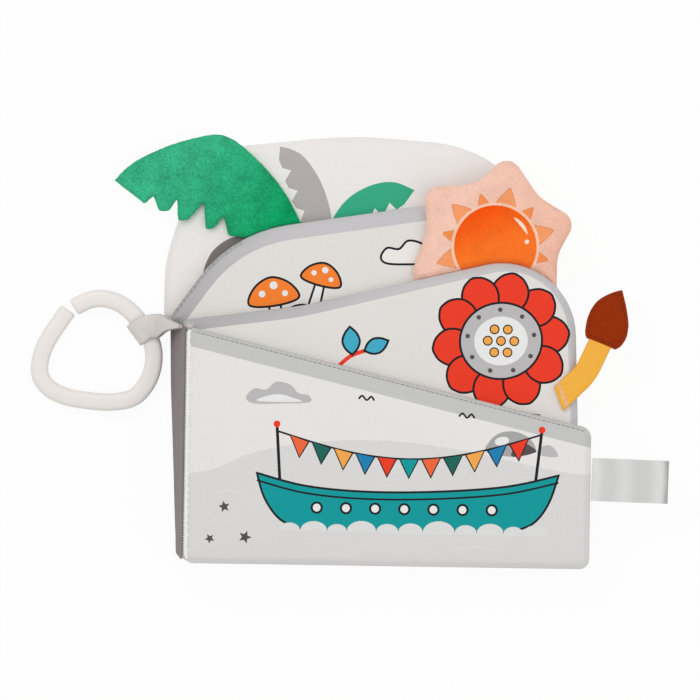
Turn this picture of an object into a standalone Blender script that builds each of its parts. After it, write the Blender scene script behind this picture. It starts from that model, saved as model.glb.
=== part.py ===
"""Crinkle cloth book: four padded leaves on a cloth spine, with a plush sun, a plush palm frond,
a felt-tipped tail, a satin label and an open plastic ring on a webbing loop.

Units are metres and +Z is up. The book lies on its back leaf. In the book's own plan, X runs from
the gutter to the fore edge, Y from the foot to the head, and Z up from the surface it lies on.
"""

import math

import bmesh
import bpy
from mathutils import Matrix, Vector

MM = 0.001
DEG = math.radians(1.0)

# Leaves, from the back leaf up to the cover
PAGE_WIDTH = 202.0 * MM
LEAF_THICKNESS = 7.4 * MM
LEAF_PITCH = 8.8 * MM
LEAF_SEAM_HEIGHT = 2.9 * MM
CLOTH_THICKNESS = 0.7 * MM
FILM_THICKNESS = 0.2 * MM
SEAM_GAP = 0.3 * MM
SEAM_ALLOWANCE = 0.5 * MM
STITCH_CHANNEL = 0.7 * MM
HEM_WIDTH = 1.6 * MM
CHANNEL_DIP_SHARE = 0.04
FRONT_RISE_SHARES = (0.34, 0.22, 0.18, 0.14, 0.08)
FRONT_SCALE_SHARES = (0.93, 0.87, 0.72)
REAR_RISE_SHARES = (0.5, 0.35, 0.15)
REAR_SCALE_SHARE = 0.97
FILM_SCALE_SHARE = 0.95
PAD_SIDE_SHARE = 0.5
PAD_SCALE_SHARES = (0.96, 0.90, 0.72)
PAD_RISE_SHARES = (0.18, 0.17, 0.15)
FOOT_CORNER_RADIUS = 5.0 * MM
HEAD_CORNER_RADIUS = 3.0 * MM
ARC_STEPS = 4

# Gutter: how far the back leaf's gutter edge stands out past the cover's. Above the spine, the heads
# of the two lower leaves flare out further, and the hinges run outside them.
LEAN_AT_HEAD = 7.8 * MM
LEAN_AT_FOOT = 2.2 * MM
HEAD_FLARE = 11.5 * MM
FLARE_START = 118.4 * MM
FLARE_RADIUS = 1.0 * MM
GUTTER_CLEARANCE = 0.8 * MM

# Outlines of the leaves
COVER_GUTTER_HEIGHT = 118.0 * MM
COVER_FORE_HEIGHT = 70.0 * MM
COVER_CORNER_RADIUS = 6.0 * MM
SECOND_GUTTER_HEIGHT = 121.0 * MM
SECOND_SHOULDER = (56.0 * MM, 128.8 * MM)
SECOND_SHOULDER_RADIUS = 160.0 * MM
SECOND_FORE_WIDTH = 195.5 * MM
SECOND_FORE_STRAIGHT = 75.0 * MM
SECOND_FORE_STRAIGHT_RADIUS = 150.0 * MM
SECOND_FORE_TAPER = 3.2 * MM
SECOND_FORE_HEIGHT = 161.5 * MM
SECOND_CORNER_RADIUS = 37.0 * MM
THIRD_HEAD = (-9.6 * MM, 121.8 * MM)
THIRD_SHOULDER = (21.4 * MM, 165.1 * MM)
THIRD_SHOULDER_RADIUS = 68.0 * MM
THIRD_FORE_WIDTH = 185.5 * MM
THIRD_FORE_HEIGHT = 190.8 * MM
THIRD_FORE_RADIUS = 52.0 * MM
BACK_HEAD = (-12.3 * MM, 122.2 * MM)
BACK_HEAD_RADIUS = 3.0 * MM
BACK_SIDE = (-12.3 * MM, 150.0 * MM)
BACK_SIDE_RADIUS = 70.0 * MM
BACK_CORNER = (5.0 * MM, 206.5 * MM)
BACK_CORNER_RADIUS = 24.0 * MM
BACK_CREST = (80.0 * MM, 215.0 * MM)
BACK_CREST_RADIUS = 200.0 * MM
BACK_FORE_WIDTH = 181.0 * MM
BACK_FORE_HEIGHT = 208.0 * MM
BACK_FORE_RADIUS = 64.0 * MM
BIG_ARC_STEPS = 9

# Spine cloth
SPINE_THICKNESS = 0.8 * MM
SPINE_HEAD = 118.0 * MM
SPINE_FOOT = 2.0 * MM
SPINE_STAND_OFF = 0.8 * MM
SPINE_STEPS = 6

# Plush sun, on the third leaf, placed from the second leaf's fore corner
SUN_IN_FROM_FORE = 43.2 * MM
SUN_ABOVE_FORE_HEIGHT = 1.8 * MM
SUN_CENTRE = (SECOND_FORE_WIDTH - SUN_IN_FROM_FORE, SECOND_FORE_HEIGHT + SUN_ABOVE_FORE_HEIGHT)
SUN_REACH = 44.0 * MM
SUN_TIP_RADIUS = 7.5 * MM
SUN_VALLEY_RADIUS = 20.0 * MM
SUN_TIP_STEPS = 5
SUN_VALLEY_STEPS = 3
SUN_TIP_SHARES = (
    (0.040, 0.968), (0.226, 1.016), (0.400, 1.0), (0.576, 1.093), (0.725, 1.0), (0.878, 1.0),
)
SUN_VALLEY_SHARES = (
    (0.124, 0.709), (0.298, 0.657), (0.478, 0.764), (0.656, 0.72), (0.803, 0.71), (0.966, 0.739),
)
SUN_REAR_DEPTH = 2.2 * MM
SUN_FRONT_DEPTH = 4.2 * MM
PLUSH_THICKNESS = 0.9 * MM
SUN_HEM_RISE_SHARE = 0.32
SUN_RISE_SHARES = (0.34, 0.21, 0.13)
SUN_SCALE_SHARES = (0.90, 0.78, 0.54)
SUN_REAR_HEM_RISE_SHARE = 0.55
SUN_REAR_RISE_SHARES = (0.30, 0.15)
SUN_REAR_SCALE_SHARES = (0.95, 0.86)
SUN_FILLING_SHARE = 0.86
FLAP_CLEARANCE = 0.9 * MM
SUN_HINGE_FROM_LEAF = 4.1 * MM

# Plush palm frond, on the back leaf, placed from the third leaf's shoulder
FROND_TIP_OUT = 59.4 * MM
FROND_TIP_UP = 25.3 * MM
FROND_TIP = (THIRD_SHOULDER[0] - FROND_TIP_OUT, THIRD_SHOULDER[1] + FROND_TIP_UP)
FROND_LENGTH = 93.0 * MM
FROND_DEPTH = 44.0 * MM
FROND_UPPER_SHARES = (
    (0.0, 0.0), (0.095, 0.20), (0.265, 0.385), (0.44, 0.505), (0.555, 0.54), (0.63, 0.49),
    (0.70, 0.39), (0.82, 0.15), (0.92, -0.115), (1.0, -0.42),
)
FROND_ROOT_SHARES = ((1.06, -0.72), (0.74, -0.80), (0.645, -0.60), (0.615, -0.595))
FROND_TOOTH_SHARES = ((0.515, -0.525), (0.375, -0.435), (0.27, -0.32), (0.167, -0.25))
FROND_NOTCH_SHARES = ((0.60, -0.393), (0.48, -0.216), (0.34, -0.193), (0.21, -0.164))
FROND_HEM = 1.0 * MM
FROND_SWELL = 1.2 * MM
FROND_REAR_DEPTH = 1.9 * MM
FROND_FRONT_DEPTH = 2.6 * MM
FROND_RISE_SHARES = (0.6, 0.4)
FROND_FILLING_SHARES = (
    (0.13, 0.09), (0.27, 0.26), (0.45, 0.37), (0.56, 0.40), (0.64, 0.33), (0.80, 0.0),
    (0.90, -0.32), (0.70, -0.48), (0.63, -0.30), (0.50, -0.10), (0.36, -0.09), (0.22, -0.05),
)
FROND_HINGE_START_OFF = (7.0 * MM, -2.1 * MM)
FROND_HINGE_END_OFF = (33.4 * MM, 6.8 * MM)
FROND_HINGE_FROM_LEAF = 4.4 * MM

# Tail flap, on the second leaf
STRAP_WIDTH = 11.8 * MM
STRAP_THICKNESS = 1.8 * MM
STRAP_FOOT = (185.6 * MM, 84.4 * MM)
STRAP_FOOT_SLANT = 18.6 * DEG
STRAP_START_TURN = 40.0 * DEG
STRAP_END_TURN = 71.0 * DEG
STRAP_LENGTH = 39.1 * MM
STRAP_STEPS = 8
FELT_THICKNESS = 1.4 * MM
FELT_LENGTH = 29.0 * MM
FELT_WIDTH = 21.5 * MM
FELT_OVERLAP = 4.0 * MM
FELT_TURN = 68.8 * DEG
FELT_HALF_SHARES = (
    (0.0, 0.60), (0.06, 0.78), (0.18, 0.95), (0.34, 1.0), (0.50, 0.90),
    (0.66, 0.66), (0.82, 0.34), (0.93, 0.13),
)
FELT_EDGE = 0.35 * MM
FELT_EDGE_ANGLE = 60.0 * DEG
TAIL_SINK = 0.95 * MM

# Satin label, in the cover's fore edge
LABEL_WIDTH = 21.4 * MM
LABEL_LENGTH = 38.6 * MM
LABEL_HEIGHT_ON_COVER = 44.8 * MM
LABEL_THICKNESS = 0.4 * MM
LABEL_FOLD_RADIUS = 0.9 * MM
LABEL_ROOT_RADIUS = 0.35 * MM
LABEL_ROOT_LENGTH = 6.0 * MM
LABEL_HINGE_OUT = 0.2 * MM
LABEL_OUT = 0.9 * MM
LABEL_TURN = -1.4 * DEG
LABEL_FOLD_STEPS = 6

# Plastic ring and its webbing loop
RING_CENTRE = (-45.3 * MM, 105.3 * MM)
RING_LENGTH = 55.8 * MM
RING_BREADTH = 52.0 * MM
RING_BAR_WIDTH = 8.8 * MM
RING_BAR_HEIGHT = 7.2 * MM
RING_BAR_SIDES = 4
RING_STEPS_PER_POINT = 5
RING_SHARES = (
    (-0.219, 0.406), (-0.115, 0.476), (0.025, 0.506), (0.168, 0.471), (0.281, 0.393),
    (0.364, 0.294), (0.448, 0.182), (0.507, 0.025), (0.507, -0.151), (0.453, -0.316),
    (0.334, -0.47), (0.11, -0.507), (-0.096, -0.489), (-0.279, -0.46), (-0.437, -0.384),
    (-0.53, -0.245), (-0.509, -0.048), (-0.427, 0.145), (-0.27, 0.381),
)
WEBBING_WIDTH = 12.0 * MM
WEBBING_THICKNESS = 0.8 * MM
WEBBING_ON_BAR = (-22.1 * MM, 116.6 * MM)
WEBBING_HEAD = 117.6 * MM
WEBBING_TACK_DROP = 1.5 * MM
WEBBING_TACK_OFF = 0.5 * MM
WEBBING_BAR_TURN = 36.9 * DEG
WEBBING_BOW = 1.3 * MM
WEBBING_SLACK = 0.9 * MM
WEBBING_STEPS = 8
WEBBING_CLIMB_SHARES = (0.0, 0.36, 0.64, 1.0)
WEBBING_WIDTH_SHARES = (1.0, 1.0, 0.52, 0.24)
WEBBING_EDGE_TURNS = (90.0 * DEG + WEBBING_BAR_TURN, 97.0 * DEG, 84.0 * DEG, 78.0 * DEG)
WEBBING_OUTER_RISE_SHARES = (0.0, 0.12, 0.52, 1.0)
WEBBING_INNER_RISE_SHARES = (0.0, 0.10, 0.50, 1.0)

# Where the record's origin lies in the book's plan: over the middle of the back leaf's flat side
ORIGIN_IN_PLAN = (88.0 * MM, 96.0 * MM)

# Flat materials: colour, roughness
PRINTED_CLOTH = ((0.80, 0.78, 0.76, 1.0), 0.85)
REAR_CLOTH = ((0.76, 0.75, 0.74, 1.0), 0.85)
TAUPE_CLOTH = ((0.27, 0.24, 0.25, 1.0), 0.9)
WADDING = ((0.86, 0.86, 0.84, 1.0), 0.95)
FILM = ((0.85, 0.87, 0.88, 1.0), 0.25)
PEACH_PLUSH = ((0.92, 0.50, 0.38, 1.0), 0.95)
GREEN_PLUSH = ((0.01, 0.42, 0.14, 1.0), 0.95)
YELLOW_RIBBON = ((0.91, 0.46, 0.06, 1.0), 0.7)
BROWN_FELT = ((0.33, 0.03, 0.004, 1.0), 0.95)
WHITE_SATIN = ((0.86, 0.86, 0.88, 1.0), 0.35)
GREY_WEBBING = ((0.60, 0.58, 0.58, 1.0), 0.8)
RING_PLASTIC = ((0.84, 0.80, 0.76, 1.0), 0.4)

LEAVES = 4
COVER, SECOND, THIRD, BACK = 3, 2, 1, 0
OVERRUN = 40.0 * MM
PIVOT_SIZE = 5.0 * MM
WELD_DISTANCE = 0.001 * MM
SHARP_ANGLE = 40.0 * DEG
UP = Vector((0.0, 0.0, 1.0))
BOOK_AT = Vector((-ORIGIN_IN_PLAN[0], -ORIGIN_IN_PLAN[1], 0.0))


def clear_scene():
    for obj in list(bpy.data.objects):
        bpy.data.objects.remove(obj, do_unlink=True)


def new_collection(name):
    collection = bpy.data.collections.new(name)
    bpy.context.scene.collection.children.link(collection)
    return collection


def make_material(name, finish):
    colour, roughness = finish
    material = bpy.data.materials.new(name)
    material.use_nodes = True
    principled = material.node_tree.nodes["Principled BSDF"]
    principled.inputs["Base Color"].default_value = colour
    principled.inputs["Roughness"].default_value = roughness
    material.diffuse_color = colour
    return material


def leaf_floor(leaf):
    """Height of a leaf's flat rear side."""
    return leaf * LEAF_PITCH


def leaf_seam(leaf):
    return leaf_floor(leaf) + LEAF_SEAM_HEIGHT


def leaf_top(leaf):
    return leaf_floor(leaf) + LEAF_THICKNESS


def gutter_edge(leaf, height):
    """X of a leaf's gutter edge at a height above the foot: the stack leans out towards the back leaf."""
    share = (COVER - leaf) / COVER
    lean = LEAN_AT_FOOT + (LEAN_AT_HEAD - LEAN_AT_FOOT) * height / COVER_GUTTER_HEIGHT
    return -share * min(lean, LEAN_AT_HEAD)


def rounded(corners):
    """Outline with each corner (x, y, radius, steps) rounded by an arc, anticlockwise."""
    points = []
    for i, (x, y, radius, steps) in enumerate(corners):
        here = Vector((x, y))
        back = (Vector(corners[i - 1][:2]) - here).normalized()
        ahead = (Vector(corners[(i + 1) % len(corners)][:2]) - here).normalized()
        half = back.angle(ahead) / 2
        centre = here + (back + ahead).normalized() * radius / math.sin(half)
        first = here + back * radius / math.tan(half) - centre
        last = here + ahead * radius / math.tan(half) - centre
        sweep = first.angle_signed(last)
        for step in range(steps + 1):
            turned = first.copy()
            turned.rotate(Matrix.Rotation(-sweep * step / steps, 2))
            points.append(tuple(centre + turned))
    return points


def cover_outline():
    edge = gutter_edge(COVER, 0.0)
    return rounded([
        (edge, 0.0, FOOT_CORNER_RADIUS, ARC_STEPS),
        (PAGE_WIDTH, 0.0, FOOT_CORNER_RADIUS, ARC_STEPS),
        (PAGE_WIDTH, COVER_FORE_HEIGHT, COVER_CORNER_RADIUS, ARC_STEPS),
        (edge, COVER_GUTTER_HEIGHT, HEAD_CORNER_RADIUS, ARC_STEPS),
    ])


def second_corner():
    """The second leaf's fore corner before it is rounded, which the sun is placed from."""
    return SECOND_FORE_WIDTH - SECOND_FORE_TAPER, SECOND_FORE_HEIGHT


def second_outline():
    head = gutter_edge(SECOND, SECOND_GUTTER_HEIGHT)
    return rounded([
        (gutter_edge(SECOND, 0.0), 0.0, FOOT_CORNER_RADIUS, ARC_STEPS),
        (SECOND_FORE_WIDTH, 0.0, FOOT_CORNER_RADIUS, ARC_STEPS),
        (SECOND_FORE_WIDTH, SECOND_FORE_STRAIGHT, SECOND_FORE_STRAIGHT_RADIUS, ARC_STEPS),
        (*second_corner(), SECOND_CORNER_RADIUS, BIG_ARC_STEPS),
        (*SECOND_SHOULDER, SECOND_SHOULDER_RADIUS, ARC_STEPS),
        (head, SECOND_GUTTER_HEIGHT, HEAD_CORNER_RADIUS, ARC_STEPS),
    ])


def third_outline():
    return rounded([
        (gutter_edge(THIRD, 0.0), 0.0, FOOT_CORNER_RADIUS, ARC_STEPS),
        (THIRD_FORE_WIDTH, 0.0, FOOT_CORNER_RADIUS, ARC_STEPS),
        (THIRD_FORE_WIDTH, THIRD_FORE_HEIGHT, THIRD_FORE_RADIUS, BIG_ARC_STEPS),
        (*THIRD_SHOULDER, THIRD_SHOULDER_RADIUS, BIG_ARC_STEPS),
        (*THIRD_HEAD, HEAD_CORNER_RADIUS, ARC_STEPS),
        (gutter_edge(THIRD, FLARE_START), FLARE_START, FLARE_RADIUS, ARC_STEPS),
    ])


def back_outline():
    return rounded([
        (gutter_edge(BACK, 0.0), 0.0, FOOT_CORNER_RADIUS, ARC_STEPS),
        (BACK_FORE_WIDTH, 0.0, FOOT_CORNER_RADIUS, ARC_STEPS),
        (BACK_FORE_WIDTH, BACK_FORE_HEIGHT, BACK_FORE_RADIUS, BIG_ARC_STEPS),
        (*BACK_CREST, BACK_CREST_RADIUS, ARC_STEPS),
        (*BACK_CORNER, BACK_CORNER_RADIUS, BIG_ARC_STEPS),
        (*BACK_SIDE, BACK_SIDE_RADIUS, ARC_STEPS),
        (*BACK_HEAD, BACK_HEAD_RADIUS, ARC_STEPS),
        (gutter_edge(BACK, FLARE_START), FLARE_START, FLARE_RADIUS, ARC_STEPS),
    ])


def hinge_line(start, end, off):
    """(place, heading) of a flap's hinge: the line through two points, moved to its left."""
    along = (Vector(end) - Vector(start)).normalized()
    return Vector(start) + Vector((-along.y, along.x)) * off, along


def sun_hinge():
    return hinge_line(SECOND_SHOULDER, second_corner(), SUN_HINGE_FROM_LEAF)


def frond_hinge():
    shoulder = Vector(THIRD_SHOULDER)
    start, end = shoulder + Vector(FROND_HINGE_START_OFF), shoulder + Vector(FROND_HINGE_END_OFF)
    return hinge_line(start, end, FROND_HINGE_FROM_LEAF)


def behind(line, gap):
    """A box's outline on the right of a line, whose edge stands a gap to the line's left."""
    place, along = line
    left = Vector((-along.y, along.x))
    near = place + left * gap
    far = place - left * PAGE_WIDTH
    reach = along * 2 * PAGE_WIDTH
    return [tuple(corner) for corner in (near + reach, near - reach, far - reach, far + reach)]


def face_of(mesh, outline, height):
    return mesh.faces.new([mesh.verts.new((x, y, height)) for x, y in outline])


def step_in(mesh, face, inset=0.0, scale_share=1.0, rise=0.0):
    """Insets a face evenly or scales it about its middle, and lifts it."""
    bmesh.ops.inset_individual(mesh, faces=[face], thickness=inset, use_even_offset=True)
    middle = face.calc_center_median()
    about = Matrix.Translation(-middle)
    bmesh.ops.scale(mesh, vec=(scale_share, scale_share, 1.0), space=about, verts=face.verts)
    bmesh.ops.translate(mesh, vec=UP * rise, verts=face.verts)


def front_crown(mesh, face, depth):
    """A leaf's front: a seam edge, a stitched channel and a crown that swells towards the middle."""
    hem, swell, *rest = FRONT_RISE_SHARES
    dip = CHANNEL_DIP_SHARE * depth
    step_in(mesh, face, inset=SEAM_ALLOWANCE, rise=hem * depth)
    step_in(mesh, face, inset=STITCH_CHANNEL, rise=-dip)
    step_in(mesh, face, inset=HEM_WIDTH, rise=swell * depth + dip)
    for scale_share, rise in zip(FRONT_SCALE_SHARES, rest):
        step_in(mesh, face, scale_share=scale_share, rise=rise * depth)


def rear_dish(mesh, face, depth):
    """A leaf's rear: a seam edge that turns down to one flat side."""
    edge, side, last = REAR_RISE_SHARES
    step_in(mesh, face, inset=SEAM_ALLOWANCE, rise=-edge * depth)
    step_in(mesh, face, inset=HEM_WIDTH, rise=-side * depth)
    step_in(mesh, face, scale_share=REAR_SCALE_SHARE, rise=-last * depth)


def object_from(mesh, name, collection, finish):
    bmesh.ops.recalc_face_normals(mesh, faces=mesh.faces)
    data = bpy.data.meshes.new(name)
    mesh.to_mesh(data)
    mesh.free()
    obj = bpy.data.objects.new(name, data)
    data.materials.append(make_material(name, finish))
    data.shade_smooth()
    data.set_sharp_from_angle(angle=SHARP_ANGLE)
    collection.objects.link(obj)
    return obj


def pivot(name, at, parent, collection):
    """An empty on a joint's axis, or at a body's place, in the book's plan."""
    empty = bpy.data.objects.new(name, None)
    empty.empty_display_size = PIVOT_SIZE
    empty["at"] = tuple(at)
    empty.location = BOOK_AT + Vector(at) if parent is None else Vector(at) - Vector(parent["at"])
    empty.parent = parent
    collection.objects.link(empty)
    return empty


def hang(obj, parent):
    """Parents a piece whose mesh is in the book's plan."""
    obj.parent = parent
    obj.location = -Vector(parent["at"])
    return obj


def solidify(obj, thickness, offset):
    wall = obj.modifiers.new("Cloth", "SOLIDIFY")
    wall.thickness = thickness
    wall.offset = offset
    wall.use_even_offset = False
    return obj


def slab(name, outline, floor, height, collection, finish):
    """A flat piece of even thickness."""
    mesh = bmesh.new()
    face = face_of(mesh, outline, floor)
    extruded = bmesh.ops.extrude_face_region(mesh, geom=[face], use_keep_orig=True)
    top = [v for v in extruded["geom"] if isinstance(v, bmesh.types.BMVert)]
    bmesh.ops.translate(mesh, vec=UP * height, verts=top)
    return object_from(mesh, name, collection, finish)


def cutter(name, outline, cutters):
    """A hidden block with this outline, taller than the book both ways."""
    obj = slab(name, outline, -OVERRUN, 2 * OVERRUN, cutters, FILM)
    obj.hide_render = True
    obj.display_type = "WIRE"
    return obj


def cut(obj, by, operation):
    boolean = obj.modifiers.new(operation.title(), "BOOLEAN")
    boolean.operation = operation
    boolean.object = by
    return obj


def padded_leaf(name, leaf, outline, body, collection):
    """Front cloth, rear cloth, wadding and crinkle film of one leaf."""
    floor, seam = leaf_floor(leaf), leaf_seam(leaf)
    depth = leaf_top(leaf) - seam - SEAM_GAP / 2

    mesh = bmesh.new()
    front_crown(mesh, face_of(mesh, outline, seam + SEAM_GAP / 2), depth)
    front = object_from(mesh, name + "_front_cloth", collection, PRINTED_CLOTH)
    hang(solidify(front, CLOTH_THICKNESS, -1.0), body)

    mesh = bmesh.new()
    rear_dish(mesh, face_of(mesh, outline[::-1], seam - SEAM_GAP / 2), seam - SEAM_GAP / 2 - floor)
    rear = object_from(mesh, name + "_rear_cloth", collection, REAR_CLOTH)
    hang(solidify(rear, CLOTH_THICKNESS, -1.0), body)

    film_floor = floor + CLOTH_THICKNESS + SEAM_GAP
    mesh = bmesh.new()
    face = face_of(mesh, outline, film_floor)
    step_in(mesh, face, inset=SEAM_ALLOWANCE)
    step_in(mesh, face, inset=HEM_WIDTH)
    step_in(mesh, face, scale_share=FILM_SCALE_SHARE)
    inner = [tuple(v.co.xy) for v in face.verts]
    mesh.free()
    film = slab(name + "_crinkle_film", inner, film_floor, FILM_THICKNESS, collection, FILM)
    hang(film, body)

    pad_floor = film_floor + FILM_THICKNESS + SEAM_GAP
    mesh = bmesh.new()
    face = face_of(mesh, inner, pad_floor)
    pad_top = leaf_top(leaf) - CLOTH_THICKNESS - SEAM_GAP
    pad_depth = pad_top - pad_floor
    extruded = bmesh.ops.extrude_face_region(mesh, geom=[face], use_keep_orig=True)
    top = [g for g in extruded["geom"] if isinstance(g, bmesh.types.BMFace)][0]
    bmesh.ops.translate(mesh, vec=UP * pad_depth * PAD_SIDE_SHARE, verts=top.verts)
    for scale_share, rise in zip(PAD_SCALE_SHARES, PAD_RISE_SHARES):
        step_in(mesh, top, scale_share=scale_share, rise=rise * pad_depth)
    pad = object_from(mesh, name + "_wadding", collection, WADDING)
    hang(pad, body)


def spine_cloth(body, collection):
    """The band round the gutter, from the back leaf's seam up to the cover's."""
    out = SPINE_STAND_OFF + SPINE_THICKNESS / 2
    mesh = bmesh.new()
    rows = []
    for step in range(SPINE_STEPS + 1):
        height = SPINE_FOOT + (SPINE_HEAD - SPINE_FOOT) * step / SPINE_STEPS
        row = []
        for leaf in range(LEAVES):
            row.append(mesh.verts.new((gutter_edge(leaf, height) - out, height, leaf_seam(leaf))))
        rows.append(row)
    for low, high in zip(rows, rows[1:]):
        for i in range(LEAVES - 1):
            mesh.faces.new((low[i], low[i + 1], high[i + 1], high[i]))
    spine = object_from(mesh, "spine_cloth", collection, TAUPE_CLOTH)
    return hang(solidify(spine, SPINE_THICKNESS, 0.0), body)


def sun_outline(reach_share=1.0):
    """Six uneven points with valleys between them, each given by its share of a turn and of the reach."""
    corners = []
    for tip, valley in zip(SUN_TIP_SHARES, SUN_VALLEY_SHARES):
        for (turn_share, out_share), radius, steps in (
            (tip, SUN_TIP_RADIUS, SUN_TIP_STEPS), (valley, SUN_VALLEY_RADIUS, SUN_VALLEY_STEPS)
        ):
            turn = 2 * math.pi * turn_share
            out = SUN_REACH * out_share * reach_share
            place = SUN_CENTRE[0] + out * math.cos(turn), SUN_CENTRE[1] + out * math.sin(turn)
            corners.append((*place, radius * reach_share, steps))
    return rounded(corners)


def plush_sun(body, leaf_body, guides, collection):
    """The sun's two plush faces and wadding in front of its hinge, and its foot behind it."""
    behind_plush, behind_filling, behind_foot = guides
    rear_floor = leaf_top(THIRD) + SEAM_GAP
    seam = rear_floor + SUN_REAR_DEPTH

    mesh = bmesh.new()
    face = face_of(mesh, sun_outline(), seam + SEAM_GAP / 2)
    depth = SUN_FRONT_DEPTH - SEAM_GAP / 2
    step_in(mesh, face, inset=SEAM_ALLOWANCE, rise=SUN_HEM_RISE_SHARE * depth)
    for scale_share, rise in zip(SUN_SCALE_SHARES, SUN_RISE_SHARES):
        step_in(mesh, face, scale_share=scale_share, rise=rise * depth)
    front = object_from(mesh, "sun_front_plush", collection, PEACH_PLUSH)
    hang(cut(solidify(front, PLUSH_THICKNESS, -1.0), behind_plush, "DIFFERENCE"), body)

    mesh = bmesh.new()
    face = face_of(mesh, sun_outline()[::-1], seam - SEAM_GAP / 2)
    depth = SUN_REAR_DEPTH - SEAM_GAP / 2
    step_in(mesh, face, inset=SEAM_ALLOWANCE, rise=-SUN_REAR_HEM_RISE_SHARE * depth)
    for scale_share, rise in zip(SUN_REAR_SCALE_SHARES, SUN_REAR_RISE_SHARES):
        step_in(mesh, face, scale_share=scale_share, rise=-rise * depth)
    rear = object_from(mesh, "sun_rear_plush", collection, PEACH_PLUSH)
    hang(cut(solidify(rear, PLUSH_THICKNESS, -1.0), behind_plush, "DIFFERENCE"), body)

    pad_floor = rear_floor + PLUSH_THICKNESS + SEAM_GAP
    pad_top = seam + SUN_FRONT_DEPTH - PLUSH_THICKNESS - SEAM_GAP
    mesh = bmesh.new()
    face = face_of(mesh, sun_outline(SUN_FILLING_SHARE), pad_floor)
    extruded = bmesh.ops.extrude_face_region(mesh, geom=[face], use_keep_orig=True)
    top = [g for g in extruded["geom"] if isinstance(g, bmesh.types.BMFace)][0]
    depth = pad_top - pad_floor
    bmesh.ops.translate(mesh, vec=UP * depth * PAD_SIDE_SHARE, verts=top.verts)
    for scale_share, rise in zip(PAD_SCALE_SHARES, PAD_RISE_SHARES):
        step_in(mesh, top, scale_share=scale_share * SUN_FILLING_SHARE, rise=rise * depth)
    pad = object_from(mesh, "sun_wadding", collection, WADDING)
    hang(cut(pad, behind_filling, "DIFFERENCE"), body)

    foot = slab("sun_foot", sun_outline(), rear_floor, PLUSH_THICKNESS, collection, PEACH_PLUSH)
    hang(cut(foot, behind_foot, "INTERSECT"), leaf_body)


def frond_point(share):
    along, across = share
    return FROND_TIP[0] + along * FROND_LENGTH, FROND_TIP[1] + across * FROND_DEPTH


def frond_outline():
    """The frond anticlockwise: the tables run clockwise, along the upper edge and back by the teeth."""
    lower = []
    for notch, tooth in zip(FROND_NOTCH_SHARES, FROND_TOOTH_SHARES):
        lower += [notch, tooth]
    shares = [*FROND_UPPER_SHARES, *FROND_ROOT_SHARES, *lower]
    return [frond_point(share) for share in shares][::-1]


def palm_frond(body, back_body, guides, collection):
    """The frond's two plush faces and wadding in front of its hinge, and its foot behind it."""
    behind_plush, behind_filling, behind_foot = guides
    rear_floor = leaf_top(BACK) + SEAM_GAP
    seam = rear_floor + FROND_REAR_DEPTH
    outline = frond_outline()

    mesh = bmesh.new()
    face = face_of(mesh, outline, seam + SEAM_GAP / 2)
    for inset, rise in zip((FROND_HEM, FROND_SWELL), FROND_RISE_SHARES):
        step_in(mesh, face, inset=inset, rise=rise * FROND_FRONT_DEPTH)
    front = object_from(mesh, "frond_front_plush", collection, GREEN_PLUSH)
    hang(cut(solidify(front, PLUSH_THICKNESS, -1.0), behind_plush, "DIFFERENCE"), body)

    mesh = bmesh.new()
    face = face_of(mesh, outline[::-1], seam - SEAM_GAP / 2)
    for inset, rise in zip((FROND_HEM, FROND_SWELL), FROND_RISE_SHARES):
        step_in(mesh, face, inset=inset, rise=-rise * (FROND_REAR_DEPTH - SEAM_GAP / 2))
    rear = object_from(mesh, "frond_rear_plush", collection, GREEN_PLUSH)
    hang(cut(solidify(rear, PLUSH_THICKNESS, -1.0), behind_plush, "DIFFERENCE"), body)

    inner = [frond_point(share) for share in FROND_FILLING_SHARES[::-1]]
    pad_floor = rear_floor + PLUSH_THICKNESS + SEAM_GAP
    pad_top = seam + SEAM_GAP / 2 + FROND_FRONT_DEPTH - PLUSH_THICKNESS - SEAM_GAP
    pad = slab("frond_wadding", inner, pad_floor, pad_top - pad_floor, collection, WADDING)
    hang(cut(pad, behind_filling, "DIFFERENCE"), body)

    foot = slab("frond_foot", outline, rear_floor, PLUSH_THICKNESS, collection, GREEN_PLUSH)
    hang(cut(foot, behind_foot, "INTERSECT"), back_body)


def along_strap(share):
    """(place, heading) on the strap's middle line, an arc from the sewn foot to the felt tip."""
    bend = (STRAP_END_TURN - STRAP_START_TURN) / STRAP_LENGTH
    heading = STRAP_START_TURN + bend * STRAP_LENGTH * share
    x = STRAP_FOOT[0] + (math.sin(heading) - math.sin(STRAP_START_TURN)) / bend
    y = STRAP_FOOT[1] - (math.cos(heading) - math.cos(STRAP_START_TURN)) / bend
    return Vector((x, y)), heading


def tail_floor():
    """Height of the strap's underside, where the second leaf's crown falls towards its edge."""
    return leaf_top(SECOND) + SEAM_GAP - TAIL_SINK


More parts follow.
